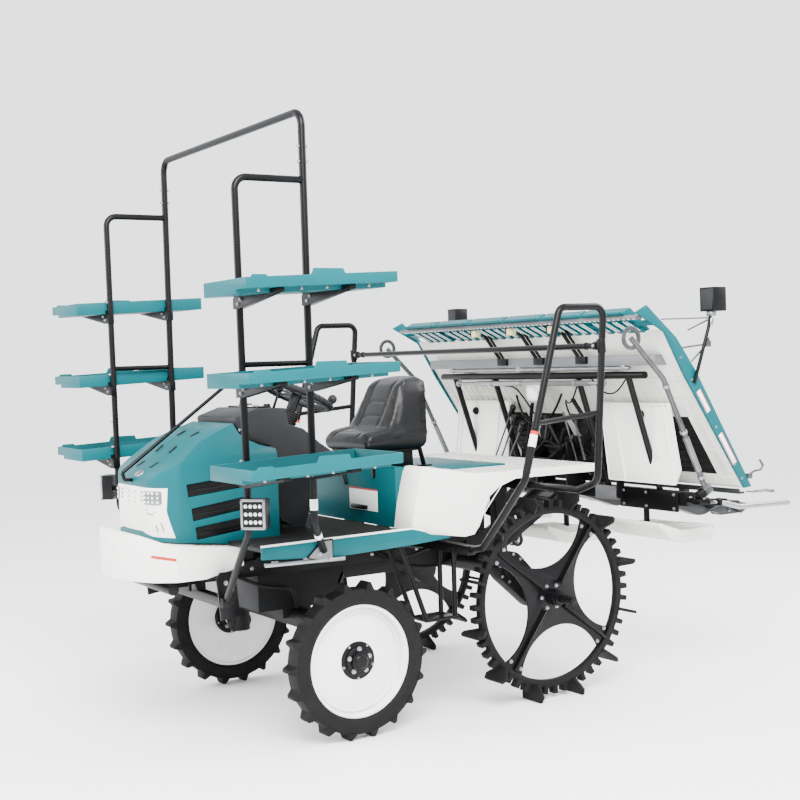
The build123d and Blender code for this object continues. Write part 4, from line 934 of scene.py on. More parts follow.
# %% Notches and creases of the fenders
notches = bmesh.new()
crease = bmesh.new()
lean = Matrix.Rotation(radians(-9.8), 4, "Y")
fender_y = 0.5995
for side in (-1, 1):
    for x, z in ((0.236, 1.0840), (0.150, 1.0695), (0.064, 1.0525)):
        block_into(notches, Vector((x - 0.014, side * 0.588 - 0.0125, z - 0.003)),
                   Vector((x + 0.014, side * 0.588 + 0.0125, z + 0.0022)), lean)
    side_y = side * fender_y
    bar_into(crease, (0.258, side_y, 1.050), (0.292, side_y, 0.835), 0.0022, 10)
    bar_into(crease, (-0.160, side_y, 1.022), (0.020, side_y, 0.815), 0.0018, 10)
close_piece("fender_notches", notches, "chassis", tread_grey, 0.001)
close_piece("fender_creases", crease, "chassis", cream)
print("deck dressed")

# %% [markdown]
# ## Seat base fittings
# The base's front carries a bare label plate with a red top edge, a black pull handle, a
# strap and two hand holes, and a rolled lip runs round its edge. The holes could be cut, but
# dark oval plugs with a slight taper give the same shadow. The lip is a thin bar along each
# edge, because a wide bevel would round the panel away.

# %% Label plate of the seat base
label = bmesh.new()
block_into(label, (0.3335, 0.050, 0.878), (0.3352, 0.296, 0.974))
close_piece("base_label", label, "chassis", disc_paint, 0.0006)
label_edge = bmesh.new()
block_into(label_edge, (0.3338, 0.050, 0.9705), (0.3358, 0.296, 0.9765))
close_piece("base_label_edge", label_edge, "chassis", red_mark)
print("label plate: bare")

# %% Handle, strap, hand holes and lip
pull = bmesh.new()
block_into(pull, (0.334, 0.085, 0.884), (0.352, 0.212, 0.902))
for y in (0.268, -0.268):
    turn = (Matrix.Translation((0.3345, y, 1.057)) @ facing((1, 0, 0))
            @ Matrix.Diagonal((0.75, 1.35, 1, 1)))
    turned_into(pull, turn, 0.026, 0.023, 0.005, 32)
bar_into(pull, (0.338, 0.030, 0.986), (0.338, -0.010, 1.066), 0.008, 12)
close_piece("base_pull", pull, "chassis", black_steel, 0.002)
lip = bmesh.new()
for side in (-1, 1):
    bar_into(lip, (0.333, side * 0.4505, 0.826), (0.333, side * 0.4505, 1.082), 0.0035, 12)
bar_into(lip, (0.332, -0.452, 1.0845), (0.332, 0.452, 1.0845), 0.0038, 12)
close_piece("base_lip", lip, "chassis", teal)
print("seat base fittings: 4")

# %% [markdown]
# ## Racks
# Grey foot plates hold the rear posts with two bright bolts each. Bright pins lock the shelf
# brackets and the arch, whose posts telescope, and white rings sit low on the rear posts. The
# foot plate has five corners, so it is drawn as one face and pushed out to its thickness. Pins
# and bolts follow the shelves' levels and their small tilt by a loop.

# %% Foot plates, pins and white rings
plates = bmesh.new()
pins = bmesh.new()
post_white_rings = bmesh.new()
plate_y, plate_thickness = 0.6298, 0.0020
outline = ((0.862, 0.772), (0.800, 0.828), (0.757, 0.828), (0.757, 0.744), (0.862, 0.766))
for side in (-1, 1):
    face = plates.faces.new([plates.verts.new((x, side * plate_y, z)) for x, z in outline])
    pushed = bmesh.ops.extrude_face_region(plates, geom=[face])["geom"]
    bmesh.ops.translate(plates, vec=(0, side * plate_thickness, 0),
                        verts=[item for item in pushed if isinstance(item, bmesh.types.BMVert)])
    for x, z in ((0.816, 0.780), (0.768, 0.757)):
        bolt_into(pins, (x, side * (plate_y + plate_thickness), z), (0, side, 0), 0.0080)
    for level in shelf_levels:
        for post in (rear_post_x, front_post_x):
            rise = shelf_rise(post)
            for way in (-1, 1):
                for y, drop in ((0.727, 0.044), (0.752, 0.026)):
                    bolt_into(pins, (post + way * 0.014, side * y, level + rise - drop),
                              (way, 0, 0), 0.0062)
        for x in (0.790, rear_post_x, 0.970, 1.076, front_post_x, 1.250):
            rise = shelf_rise(x)
            bar_into(pins, (x, side * 1.040, level + rise - 0.012),
                     (x, side * 1.040, level + rise + 0.001), 0.0055, 10)
    side_y = side * post_y
    for z in (2.336, 2.396):
        bar_into(pins, (rear_post_x, side_y, z), (rear_post_x + 0.023, side_y, z), 0.0058, 12)
        bar_into(pins, (rear_post_x - 0.023, side_y, z), (rear_post_x, side_y, z), 0.0045, 12)
    for z in (1.180, 1.300, 1.520, 1.860):
        bar_into(pins, (front_post_x - 0.015, side_y, z), (front_post_x + 0.016, side_y, z),
                 0.0050, 12)
    # Two white rings on each rear post: one on the straight tube and one on its bent foot.
    bar_into(post_white_rings, (rear_post_x, side_y, 0.966), (rear_post_x, side_y, 1.010), 0.0158, 24)
    bar_into(post_white_rings, (0.8375, side * 0.6708, 0.851), (0.8485, side * 0.6808, 0.868), 0.0158, 24)
close_piece("rack_foot_plates", plates, "chassis", plate_grey, 0.0006)
close_piece("rack_pins", pins, "chassis", zinc, 0.0006)
close_piece("rack_white_rings", post_white_rings, "chassis", disc_paint, 0.0008)
print("rack fittings: 3")

# %% Ribs in the shelves
shelf_ribs = bmesh.new()
for side in (-1, 1):
    for level in shelf_levels:
        for row in range(5):
            y = side * (0.760 + 0.050 * row)
            bmesh.ops.create_cube(shelf_ribs, size=1, matrix=(
                Matrix.Translation((shelf_middle_x, y, level + shelf_drop / 2 - 0.0085))
                @ Matrix.Rotation(radians(2.36), 4, "Y")
                @ Matrix.Diagonal((0.600, 0.010, 0.005, 1))))
        for column in range(3):
            x = 0.780 + 0.212 * column
            top = level + shelf_rise(x)
            near_y, far_y = sorted((side * 0.735, side * 0.992))
            block_into(shelf_ribs, (x - 0.006, near_y, top - 0.012), (x + 0.006, far_y, top - 0.006))
close_piece("shelf_ribs", shelf_ribs, "chassis", teal, 0.0012)
print("ribbed shelves:", 2 * len(shelf_levels))

# %% [markdown]
# ## Hoops and guard rail
# Each hoop's leaning leg has a knurled rubber grip and a short white and red sleeve above
# it. Where the guard rail meets a hoop sits a clamp with two bolts. Because the leg leans, a
# helper gives the point on it at any height, and the sleeves follow the tube. The knurl is a
# stack of thin rings, because a bump would not show in the outline.

# %% Grips, sleeves and clamps
grip = bmesh.new()
white_band = bmesh.new()
red_band = bmesh.new()
clamps = bmesh.new()
clamp_bolts = bmesh.new()
hoop_y = 1.034
leg_low = Vector((0.080, hoop_y, 1.040))
leg_run = (Vector((-0.124, hoop_y, 1.744)) - leg_low).normalized()
rail_x, rail_z = -0.347, 1.581
for side in (-1, 1):
    foot = Vector((leg_low.x, side * hoop_y, leg_low.z))

    def on_leg(z):
        """The point on the middle of the leaning leg at a height."""
        return foot + leg_run * ((z - foot.z) / leg_run.z)

    bar_into(red_band, on_leg(1.226), on_leg(1.240), 0.0160, 24)
    bar_into(white_band, on_leg(1.178), on_leg(1.226), 0.0160, 24)
    for number in range(10):
        bar_into(grip, on_leg(1.072 + 0.0100 * number), on_leg(1.079 + 0.0100 * number),
                 0.0168, 18)
    for z in (1.250, 1.2625, 1.580, 1.594):
        bar_into(clamps, on_leg(z), on_leg(z + 0.005), 0.0172, 24)
    for near, far, radius in ((0.985, 1.012, 0.0180), (0.930, 0.942, 0.0162)):
        bar_into(clamps, (rail_x, side * near, rail_z), (rail_x, side * far, rail_z), radius, 24)
    bolt_into(clamp_bolts, (rail_x + 0.017, side * 0.998, rail_z), (1, 0, 0), 0.0060)
    bolt_into(clamp_bolts, (rail_x, side * 0.998, rail_z + 0.018), (0, 0, 1), 0.0060)
    bar_into(clamps, (rail_x, side * hoop_y, 1.552), (rail_x + 0.004, side * hoop_y, 1.610),
             0.0185, 24)
close_piece("hoop_grips", grip, "chassis", rubber)
close_piece("hoop_white_bands", white_band, "chassis", disc_paint)
close_piece("hoop_red_bands", red_band, "chassis", red_mark)
close_piece("hoop_clamps", clamps, "chassis", black_steel, 0.001)
close_piece("hoop_clamp_bolts", clamp_bolts, "chassis", zinc, 0.0006)
print("hoop fittings: 5")

# %% [markdown]
# ## Covers and beam of the planting unit
# The white covers are thin pressings with folds and one black knob each. A small grey box
# sits on the beam, and bolts hold the beam's black plates. A fold could be pressed into the
# sheet itself. A thin bar sunk halfway into the sheet catches the same line of light with a
# few faces.

# %% Folds and knobs of the covers
folds = bmesh.new()
knobs = bmesh.new()
front_face = -0.9090
for side in (-1, 1):
    for top_y, foot_y in ((0.455, 0.530), (0.800, 0.868)):
        bar_into(folds, (front_face - 0.001, side * top_y, 1.300),
                 (front_face - 0.001, side * foot_y, 0.942), 0.0042, 10)
    for low_y, high_y, z in ((0.372, 0.828, 1.3045), (0.424, 0.856, 0.940)):
        bar_into(folds, (front_face + 0.001, side * low_y, z),
                 (front_face + 0.001, side * high_y, z), 0.0040, 10)
    for inner, outer in (((0.370, 1.305), (0.419, 0.940)), ((0.831, 1.305), (0.893, 1.008)),
                         ((0.893, 1.008), (0.859, 0.940))):
        bar_into(folds, (front_face + 0.001, side * inner[0], inner[1]),
                 (front_face + 0.001, side * outer[0], outer[1]), 0.0040, 10)
for y, z in ((-0.676, 1.253), (0.650, 1.256)):
    turn = Matrix.Translation((front_face + 0.006, y, z)) @ facing((1, 0, 0))
    turned_into(knobs, turn, 0.022, 0.018, 0.014, 28)
    turned_into(knobs, raised(turn, 0.010), 0.012, 0.010, 0.010, 8)
close_piece("cover_folds", folds, "planter", cream)
close_piece("cover_knobs", knobs, "planter", black_steel, 0.0015)
print("covers: folds and knobs")

# %% Box and bolts of the beam
beam_parts = bmesh.new()
beam_bolts = bmesh.new()
block_into(beam_parts, (-0.945, 0.290, 0.838), (-0.925, 0.452, 0.903))
block_into(beam_parts, (-0.925, 0.405, 0.846), (-0.920, 0.440, 0.880))
for side in (-1, 1):
    for y in (0.485, 0.640, 0.825):
        for z in (0.824, 0.888):
            bolt_into(beam_bolts, (-0.937, side * y, z), (1, 0, 0), 0.0062)
    for y in (0.930, 0.965, 1.012):
        bolt_into(beam_bolts, (-0.940, side * y, 0.882), (0, 0, 1), 0.0065)
close_piece("beam_box", beam_parts, "planter", plate_grey, 0.003)
close_piece("beam_bolts", beam_bolts, "planter", zinc, 0.0006)
print("beam: box and bolts")

# %% [markdown]
# ## Drive and feed gear behind the covers
# Between the covers are the dark drive case with its gears, a white reservoir under the
# rail, the feed shafts with their springs, levers, and cables that hang in loops. A spring
# could be a helix, which needs thousands of faces for something a few pixels wide. A row of
# thin rings reads the same. The cables are smooth curves drawn by a few points.

# %% Drive case and gears
case = bmesh.new()
block_into(case, (-1.064, -0.290, 0.905), (-1.008, 0.290, 1.060))
block_into(case, (-1.024, -0.215, 1.055), (-0.992, -0.120, 1.185))
block_into(case, (-1.012, 0.130, 1.055), (-0.980, 0.235, 1.205))
block_into(case, (-1.040, -0.060, 1.055), (-0.992, 0.075, 1.130))
for x, y, z, radius in ((-1.010, -0.200, 0.985, 0.062), (-1.010, 0.185, 1.000, 0.070),
                        (-1.010, -0.020, 0.975, 0.048), (-0.984, 0.183, 1.158, 0.046),
                        (-0.996, -0.168, 1.145, 0.040), (-0.996, 0.010, 1.100, 0.030)):
    bar_into(case, (x, y, z), (x + 0.016, y, z), radius, 32)
    bar_into(case, (x + 0.016, y, z), (x + 0.022, y, z), radius * 0.55, 24)
close_piece("drive_case", case, "planter", cast_grey, 0.004)
gear_bolts = bmesh.new()
for y, z, radius in ((-0.200, 0.985, 0.050), (0.185, 1.000, 0.057), (-0.020, 0.975, 0.037)):
    for number in range(6):
        angle = radians(60 * number + 20)
        bolt_into(gear_bolts, (-0.994, y + radius * cos(angle), z + radius * sin(angle)),
                  (1, 0, 0), 0.0052)
close_piece("drive_bolts", gear_bolts, "planter", zinc, 0.0005)
print("drive case: 6 gears")

# %% Feed shaft and springs


def ring_on(shape, x, y, z, width, radius, segments):
    """A ring on a shaft along Y. It starts at y and is as long as its width says."""
    bar_into(shape, (x, y, z), (x, y + width, z), radius, segments)


shafts = bmesh.new()
springs = bmesh.new()
feed_x, feed_z = -0.775, 1.408
bar_into(shafts, (feed_x, -0.640, feed_z), (feed_x, 0.560, feed_z), 0.0085, 20)
bar_into(shafts, (feed_x, -0.467, feed_z), (feed_x, -0.088, feed_z), 0.0130, 24)
for number in range(34):
    ring_on(springs, feed_x, 0.110 + 0.0100 * number, feed_z, 0.0055, 0.0135, 18)
for y in (-0.640, -0.340, 0.340, 0.540):
    ring_on(shafts, feed_x, y - 0.006, feed_z, 0.012, 0.0170, 20)
    bar_into(shafts, (feed_x, y, feed_z), (feed_x - 0.018, y, feed_z + 0.028), 0.0060, 12)
close_piece("feed_shaft", shafts, "planter", zinc, 0.0008)
close_piece("feed_springs", springs, "planter", plate_grey)
print("feed shaft: 1, with its springs")

# %% White reservoir
tank = bmesh.new()
for low_z, high_z, low_r, high_r in ((1.318, 1.334, 0.036, 0.047), (1.334, 1.400, 0.047, 0.050),
                                     (1.400, 1.418, 0.050, 0.030), (1.418, 1.428, 0.020, 0.020)):
    turned_into(tank, Matrix.Translation((-0.836, -0.045, (low_z + high_z) / 2)), low_r, high_r,
                high_z - low_z, 36)
close_piece("reservoir", tank, "planter", disc_paint, 0.001)
print("reservoir: 1")

# %% The stand's own shaft
slide_x, slide_z = -0.774, 1.477
stand_shaft = bmesh.new()
bar_into(stand_shaft, (slide_x, -0.700, slide_z), (slide_x, 0.730, slide_z), 0.0095, 20)
for number in range(60):
    ring_on(stand_shaft, slide_x, -0.080 + 0.0125 * number, slide_z, 0.0060, 0.0108, 14)
for y in (-0.700, -0.100, 0.690):
    block_into(stand_shaft, (-0.786, y - 0.014, 1.466), (-0.764, y + 0.014, 1.492))
close_piece("stand_shaft", stand_shaft, "stand", zinc, 0.0006)
print("ringed shaft under the rail: 1")

# %% Levers with black knobs
levers = bmesh.new()
knobs = bmesh.new()
for head, foot in (((-0.815, -0.236, 1.250), (-0.932, -0.600, 0.906)),
                   ((-0.806, -0.205, 1.206), (-0.932, -0.540, 0.906)),
                   ((-0.812, -0.150, 1.170), (-0.932, -0.480, 0.906))):
    bar_into(levers, head, foot, 0.0048, 12)
    head, foot = Vector(head), Vector(foot)
    run = (head - foot).normalized()
    tip = head + run * 0.045
    bar_into(knobs, head - run * 0.012, tip, 0.0150, 24)
    ball_into(knobs, Matrix.Translation(tip), 0.0175, 20, 12)
close_piece("planter_levers", levers, "planter", dull_steel)
close_piece("planter_knobs", knobs, "planter", black_steel)
print("levers: 3")

# %% Cables behind the covers
wire_pieces("planter", black_steel, (
    ("cable_long", 0.0042, ((-0.800, -0.330, 1.430), (-0.806, -0.280, 1.390),
                            (-0.812, -0.200, 1.395), (-0.840, -0.150, 1.330),
                            (-0.900, -0.130, 1.230), (-0.985, -0.150, 1.140),
                            (-1.008, -0.170, 1.100))),
    ("cable_loop", 0.0042, ((-0.800, 0.335, 1.420), (-0.800, 0.300, 1.340),
                            (-0.830, 0.220, 1.300), (-0.880, 0.130, 1.330),
                            (-0.930, 0.090, 1.260), (-0.972, 0.110, 1.170),
                            (-0.974, 0.170, 1.180))),
    ("cable_low", 0.0045, ((-0.930, 0.340, 0.985), (-0.945, 0.250, 1.060),
                           (-0.955, 0.120, 1.090), (-0.985, 0.020, 1.020),
                           (-0.996, -0.020, 0.990))),
    ("cable_cross", 0.0040, ((-0.800, 0.420, 1.440), (-0.795, 0.480, 1.385),
                             (-0.790, 0.560, 1.352), (-0.790, 0.640, 1.372),
                             (-0.795, 0.690, 1.440))),
))

# %% [markdown]
# ## Lids and comb of the seedling stand
# Under the lids runs a grey rail with white slots, and below it a teal comb whose fingers
# carry white bars. Three black arms with cream boxes hold the comb to the grey beam. The
# lids slope, so places in X and Z would be hard to read. Two helpers place each block along
# the slope, across it, and down from the lid instead.

# %% Places under the lids
lid_slope = Vector((0.159, 0, 0.076)).normalized()
lid_down = Vector((0.076, 0, -0.159)).normalized()
lid_foot = Vector((-0.749, 0, 1.646))
lid_turn = Matrix((lid_slope, (0, 1, 0), -lid_down)).transposed().to_4x4()


def on_lid(along, y, down):
    """A point under the lids: along their slope, across, and down from them."""
    return lid_foot + lid_slope * along + lid_down * down + Vector((0, y, 0))


def lid_block(shape, along, y, down, size):
    """A block that lies against the underside of the lids."""
    half = Vector(size) / 2
    middle = on_lid(along, y, down)
    block_into(shape, middle - half, middle + half, lid_turn)


print("lids slope by", round(lid_slope.z / lid_slope.x, 2))

# %% Slotted rail, comb and bars
rail = bmesh.new()
rail_slots = bmesh.new()
comb = bmesh.new()
comb_bars = bmesh.new()
stand_width = 1.940
slot_count = 58
lid_block(rail, 0.138, 0, 0.004, (0.030, stand_width, 0.010))
lid_block(rail, 0.150, 0, 0.011, (0.008, stand_width, 0.008))
for number in range(slot_count):
    lid_block(rail_slots, 0.136, -0.930 + 0.0326 * number, 0.0095, (0.014, 0.0130, 0.002))
for middle in row_middles:
    for finger in range(4):
        y = middle - 0.102 + 0.068 * finger
        lid_block(comb, 0.055, y, 0.005, (0.150, 0.040, 0.012))
        for shift in (-0.010, 0.010):
            lid_block(comb_bars, 0.068, y + shift, 0.0115, (0.092, 0.0060, 0.003))
    lid_block(comb, 0.020, middle, 0.003, (0.040, 0.262, 0.008))
close_piece("lid_rail", rail, "stand", plate_grey, 0.0015)
close_piece("lid_rail_slots", rail_slots, "stand", disc_paint)
close_piece("lid_comb", comb, "stand", teal, 0.0015)
close_piece("lid_comb_bars", comb_bars, "stand", disc_paint, 0.0006)
print("slots:", slot_count, "comb fingers:", 4 * len(row_middles))

# %% Lid lips and arms
lips = bmesh.new()
lip_x, lip_z = -0.5935, 1.7235
for middle in row_middles:
    bar_into(lips, (lip_x, middle - 0.128, lip_z), (lip_x, middle + 0.128, lip_z), 0.0060, 14)
close_piece("lid_lips", lips, "stand", teal)
arms = bmesh.new()
boxes = bmesh.new()
for y in (-0.283, 0.020, 0.345):
    for shift, radius in ((0, 0.0095), (0.034, 0.0070)):
        bar_into(arms, (-0.690, y - 0.026 + shift, 1.690), (-0.757, y + 0.046 + shift, 1.532),
                 radius, 14)
    block_into(arms, (-0.764, y + 0.030, 1.500), (-0.748, y + 0.105, 1.536))
    block_into(arms, (-0.690, y - 0.052, 1.655), (-0.640, y - 0.034, 1.692))
    block_into(boxes, (-0.668, y - 0.034, 1.652), (-0.634, y + 0.004, 1.686))
close_piece("comb_arms", arms, "stand", black_steel, 0.0015)
close_piece("comb_boxes", boxes, "stand", pale_yellow, 0.003)
print("comb arms: 3")

# %% [markdown]
# ## The stand's underside and sides
# The tray's underside has moulded ribs along each row. Its teal side strips have a rolled
# edge, two bare label plates and a row of small bolts. An Array modifier could repeat the
# ribs, but every sixth one is wider, at the border of two rows, so a loop makes them.

# %% Ribs under the tray
tray_up = Vector((0.473, 0, 0.733)).normalized()
tray_out = Vector((tray_up.z, 0, -tray_up.x))
tray_foot = Vector((-1.215, 0, 0.909))
tray_turn = Matrix((tray_up, (0, 1, 0), -tray_out)).transposed().to_4x4()


def on_tray(along, y, out):
    """A point at the tray's underside: up its slope, across, and out from it."""
    return tray_foot + tray_up * along + tray_out * out + Vector((0, y, 0))


def tray_block(shape, along, y, out, size):
    """A block that lies along the tray's slope."""
    half = Vector(size) / 2
    middle = on_tray(along, y, out)
    block_into(shape, middle - half, middle + half, tray_turn)


ribs = bmesh.new()
for number in range(37):
    y = -0.936 + 0.052 * number
    width = 0.014 if number % 6 else 0.022
    tray_block(ribs, 0.335, y, 0.0012, (0.600, width, 0.0036))
for along in (0.060, 0.215, 0.370, 0.520, 0.612):
    tray_block(ribs, along, 0, 0.0012, (0.014, stand_width, 0.0044))
close_piece("tray_ribs", ribs, "stand", float_shell, 0.0010)
print("tray ribs: 37 up and 5 across")

# %% Side strips: rolled edge, bolts and bare plates
edge = bmesh.new()
plates = bmesh.new()
plate_edges = bmesh.new()
bolts = bmesh.new()
strip_y = 0.9990
strip_path = ((-1.255, 0.916), (-0.926, 1.451), (-0.809, 1.606), (-0.638, 1.750))
for side in (-1, 1):
    edge_y = side * (strip_y - 0.003)
    for (start_x, start_z), (end_x, end_z) in zip(strip_path, strip_path[1:]):
        bar_into(edge, (start_x, edge_y, start_z), (end_x, edge_y, end_z), 0.0038, 10)
    for along, length in ((0.480, 0.115), (0.215, 0.165)):
        tray_block(plates, along, side * (strip_y + 0.0004), -0.014, (length, 0.0014, 0.030))
        for shift in (-0.0125, 0.0125):
            tray_block(plate_edges, along, side * (strip_y + 0.0008), -0.014 - shift,
                       (length, 0.0014, 0.0044))
    for along in (0.05, 0.13, 0.34, 0.60, 0.72):
        bolt_into(bolts, on_tray(along, side * strip_y, -0.010), (0, side, 0), 0.0055)
close_piece("strip_edges", edge, "stand", teal)
close_piece("strip_plates", plates, "stand", disc_paint, 0.0003)
close_piece("strip_plate_edges", plate_edges, "stand", red_mark)
close_piece("strip_bolts", bolts, "stand", zinc, 0.0005)
print("stand sides: 4 pieces")

# %% [markdown]
# ## Belt windows, clips and the drive behind the covers
# In the lower third of each row the black feed belt shows from below between two pale edges.
# Bright clips and a hook stand off the side strips, and a slide plate looks out under each
# end of the stand. Cutting the tray would open a solid that the belts lie on, so the belt's
# black ribs lie on its underside, inside a raised frame. Between the white covers show dark
# chain cases, crossing rods, a spring and hoses. Only their front can be seen, so they are
# plain blocks and bars set close together.

# %% Belt windows under the tray
windows = bmesh.new()
window_edges = bmesh.new()
window_along = 0.240
for middle in row_middles:
    tray_block(windows, window_along, middle, 0.0026, (0.330, 0.250, 0.0030))
    for number in range(9):
        tray_block(windows, 0.092 + 0.037 * number, middle, 0.0050, (0.009, 0.236, 0.0030))
    for way in (-1, 1):
        tray_block(window_edges, window_along, middle + way * 0.129, 0.0040,
                   (0.344, 0.008, 0.0060))
    for along in (0.070, 0.410):
        tray_block(window_edges, along, middle, 0.0040, (0.010, 0.266, 0.0060))
close_piece("belt_windows", windows, "stand", rubber, 0.0008)
close_piece("window_edges", window_edges, "stand", float_shell, 0.0008)
print("belt windows:", len(row_middles))

# %% Clips, hook and lamp stays at the stand's sides
clips = bmesh.new()
clip_y = 0.992
hook_radius = 0.0055
hook = ((-1.246, 0.962), (-1.284, 0.982), (-1.330, 0.986), (-1.344, 1.006), (-1.326, 1.030))
for side in (-1, 1):
    side_y = side * clip_y
    head = Vector((-1.004, side_y, 1.576))
    for foot in ((-0.846, side_y, 1.562), (-0.905, side_y, 1.500)):
        bar_into(clips, foot, head, 0.0042, 12)
    block_into(clips, head - Vector((0.016, 0.010, 0.013)), head + Vector((0.012, 0.010, 0.015)))
    stem = head + Vector((-0.008, 0, 0.010))
    bar_into(clips, stem, stem + Vector((0, 0, 0.020)), 0.0065, 12)
    bar_into(clips, (-0.728, side * 0.993, 1.690), (-1.008, side * 1.005, 1.693), 0.0032, 12)
    for (start_x, start_z), (end_x, end_z) in zip(hook, hook[1:]):
        bar_into(clips, (start_x, side_y, start_z), (end_x, side_y, end_z), hook_radius, 12)
        ball_into(clips, Matrix.Translation((end_x, side_y, end_z)), hook_radius, 12, 8)
    block_into(clips, (-1.262, side_y - 0.012, 0.950), (-1.232, side_y + 0.012, 0.974))
close_piece("side_clips", clips, "stand", dull_steel, 0.0008)
print("stand sides: a clip and a hook each")

# %% Drive clutter between the covers
chain_case = bmesh.new()
bright = bmesh.new()
for low, high in (((-0.992, -0.330, 0.925), (-0.948, -0.235, 1.085)),
                  ((-0.992, 0.240, 0.925), (-0.948, 0.325, 1.120)),
                  ((-0.985, -0.120, 0.920), (-0.940, 0.120, 0.985))):
    block_into(chain_case, low, high)
# Each row: a dark rod's two ends and its radius
for start, end, radius in (((-0.960, -0.285, 1.080), (-0.900, -0.160, 1.300), 0.010),
                           ((-0.960, 0.285, 1.115), (-0.880, 0.185, 1.330), 0.011),
                           ((-0.965, -0.060, 0.980), (-0.930, 0.060, 1.170), 0.012),
                           ((-0.955, 0.060, 0.980), (-0.900, -0.060, 1.240), 0.009),
                           ((-0.965, -0.280, 0.990), (-0.965, 0.280, 1.030), 0.013)):
    bar_into(chain_case, start, end, radius, 16)
for start, end, radius in (((-0.940, -0.140, 1.000), (-0.905, -0.050, 1.200), 0.0045),
                           ((-0.938, 0.150, 0.990), (-0.898, 0.090, 1.260), 0.0045),
                           ((-0.944, 0.020, 1.010), (-0.900, 0.165, 1.150), 0.0045)):
    bar_into(bright, start, end, radius, 12)
for y, z in ((-0.310, 1.060), (-0.255, 0.950), (0.262, 1.095), (0.305, 0.950), (-0.090, 0.955),
             (0.090, 0.955), (0.0, 0.955)):
    bolt_into(bright, (-0.9478, y, z), (1, 0, 0), 0.0070)
close_piece("drive_clutter", chain_case, "planter", cast_grey, 0.003)
close_piece("drive_rods", bright, "planter", dull_steel, 0.0006)
print("drive clutter: 2 pieces")

# %% Drive spring and hoses
spring = bmesh.new()
coil_count = 26
for number in range(coil_count):
    share = number / (coil_count - 1)
    place = Vector((-0.936, 0.205 - 0.065 * share, 1.020 + 0.190 * share))
    bar_into(spring, place, place + Vector((0, -0.0010, 0.0030)), 0.0095, 14)
close_piece("drive_spring", spring, "planter", dull_steel)
wire_pieces("planter", black_steel, (
    ("hose_drive", 0.0075, ((-0.950, -0.220, 0.960), (-0.915, -0.180, 1.060),
                            (-0.905, -0.060, 1.120), (-0.915, 0.080, 1.060),
                            (-0.950, 0.170, 0.965))),
    ("hose_high", 0.0060, ((-0.905, -0.300, 1.340), (-0.890, -0.240, 1.230),
                           (-0.900, -0.130, 1.180), (-0.925, -0.020, 1.230),
                           (-0.900, 0.080, 1.350))),
))

# %% Slide plates under the stand's ends
slides = bmesh.new()
plate_half, plate_top = 0.026, 0.889
for side in (-1, 1):
    side_y = side * 0.985
    for front_x, foot_z in ((-1.262, 0.884), (-1.392, 0.876)):
        block_into(slides, (-1.398, side_y - plate_half, foot_z),
                   (front_x, side_y + plate_half, plate_top))
    for x in (-1.370, -1.300):
        bolt_into(slides, (x, side_y, plate_top), (0, 0, 1), 0.0050)
close_piece("slide_plates", slides, "planter", plate_grey, 0.001)
print("slide plates: 2")

# %% [markdown]
# ## Console and steering wheel
# The console carries a dial, a small screen and a row of switches. The wheel has a thick
# moulded rim on three flat spokes, a round pad, and a knob for turning it with one hand. It
# is made lying flat about the origin, with its rim spun from a circle, because rings and
# spokes are then simple turns about Z. One matrix lays it on the leaning column.

# %% Console fittings
switches = bmesh.new()
dial = bmesh.new()
for y in (-0.140, -0.105, 0.105, 0.140):
    block_into(switches, (0.800, y - 0.010, 1.355), (0.835, y + 0.010, 1.3660))
block_into(switches, (0.748, -0.075, 1.352), (0.846, 0.075, 1.3640))
turned_into(dial, Matrix.Translation((0.797, 0, 1.3660)), 0.038, 0.035, 0.006, 40)
for side in (-1, 1):
    turned_into(switches, Matrix.Translation((0.760, side * 0.09075, 1.3640)), 0.020, 0.014,
                0.020, 24)
for number in range(5):
    z = 1.225 + 0.016 * number
    bar_into(switches, (0.6005, -0.060, z), (0.6005, 0.060, z), 0.0020, 8)
close_piece("console_switches", switches, "chassis", black_steel, 0.002)
close_piece("console_dial", dial, "chassis", zinc, 0.001)
print("console fittings: 2")

# %% Rubber gaiter of the column
gaiter = bmesh.new()
column_top = Vector((0.598, 0, 1.330))
column_low = Vector((0.640, 0, 1.240))
for number in range(7):
    share = 0.28 + 0.105 * number
    bar_into(gaiter, column_low.lerp(column_top, share), column_low.lerp(column_top, share + 0.06),
             0.0450 - 0.0004 * number, 28)
close_piece("column_gaiter", gaiter, "chassis", rubber, 0.002)
print("gaiter folds: 7")

# %% Steering wheel rim
rim_radius = 0.160
grip_rings = 36
on_edge = Matrix.Rotation(radians(90), 4, "X")
to_rim = Matrix.Translation((rim_radius, 0, 0))
column_run = Vector((-0.42, 0, 0.908)).normalized()
wheel_turn = Matrix.Translation(pivot["steering_wheel"]) @ facing(column_run)
rim = bmesh.new()
bmesh.ops.create_circle(rim, segments=18, radius=0.0148, matrix=to_rim @ on_edge)
bmesh.ops.spin(rim, geom=list(rim.edges), cent=(0, 0, 0), axis=(0, 0, 1),
               angle=2 * pi, steps=72, use_merge=True)
for number in range(grip_rings):
    place = Matrix.Rotation(2 * pi * number / grip_rings, 4, "Z") @ to_rim
    turned_into(rim, place @ on_edge, 0.0158, 0.0158, 0.008, 14)
bmesh.ops.transform(rim, matrix=wheel_turn, verts=rim.verts)
close_piece("steering_rim", rim, "steering", dark_moulding)
print("rim with rings:", grip_rings)

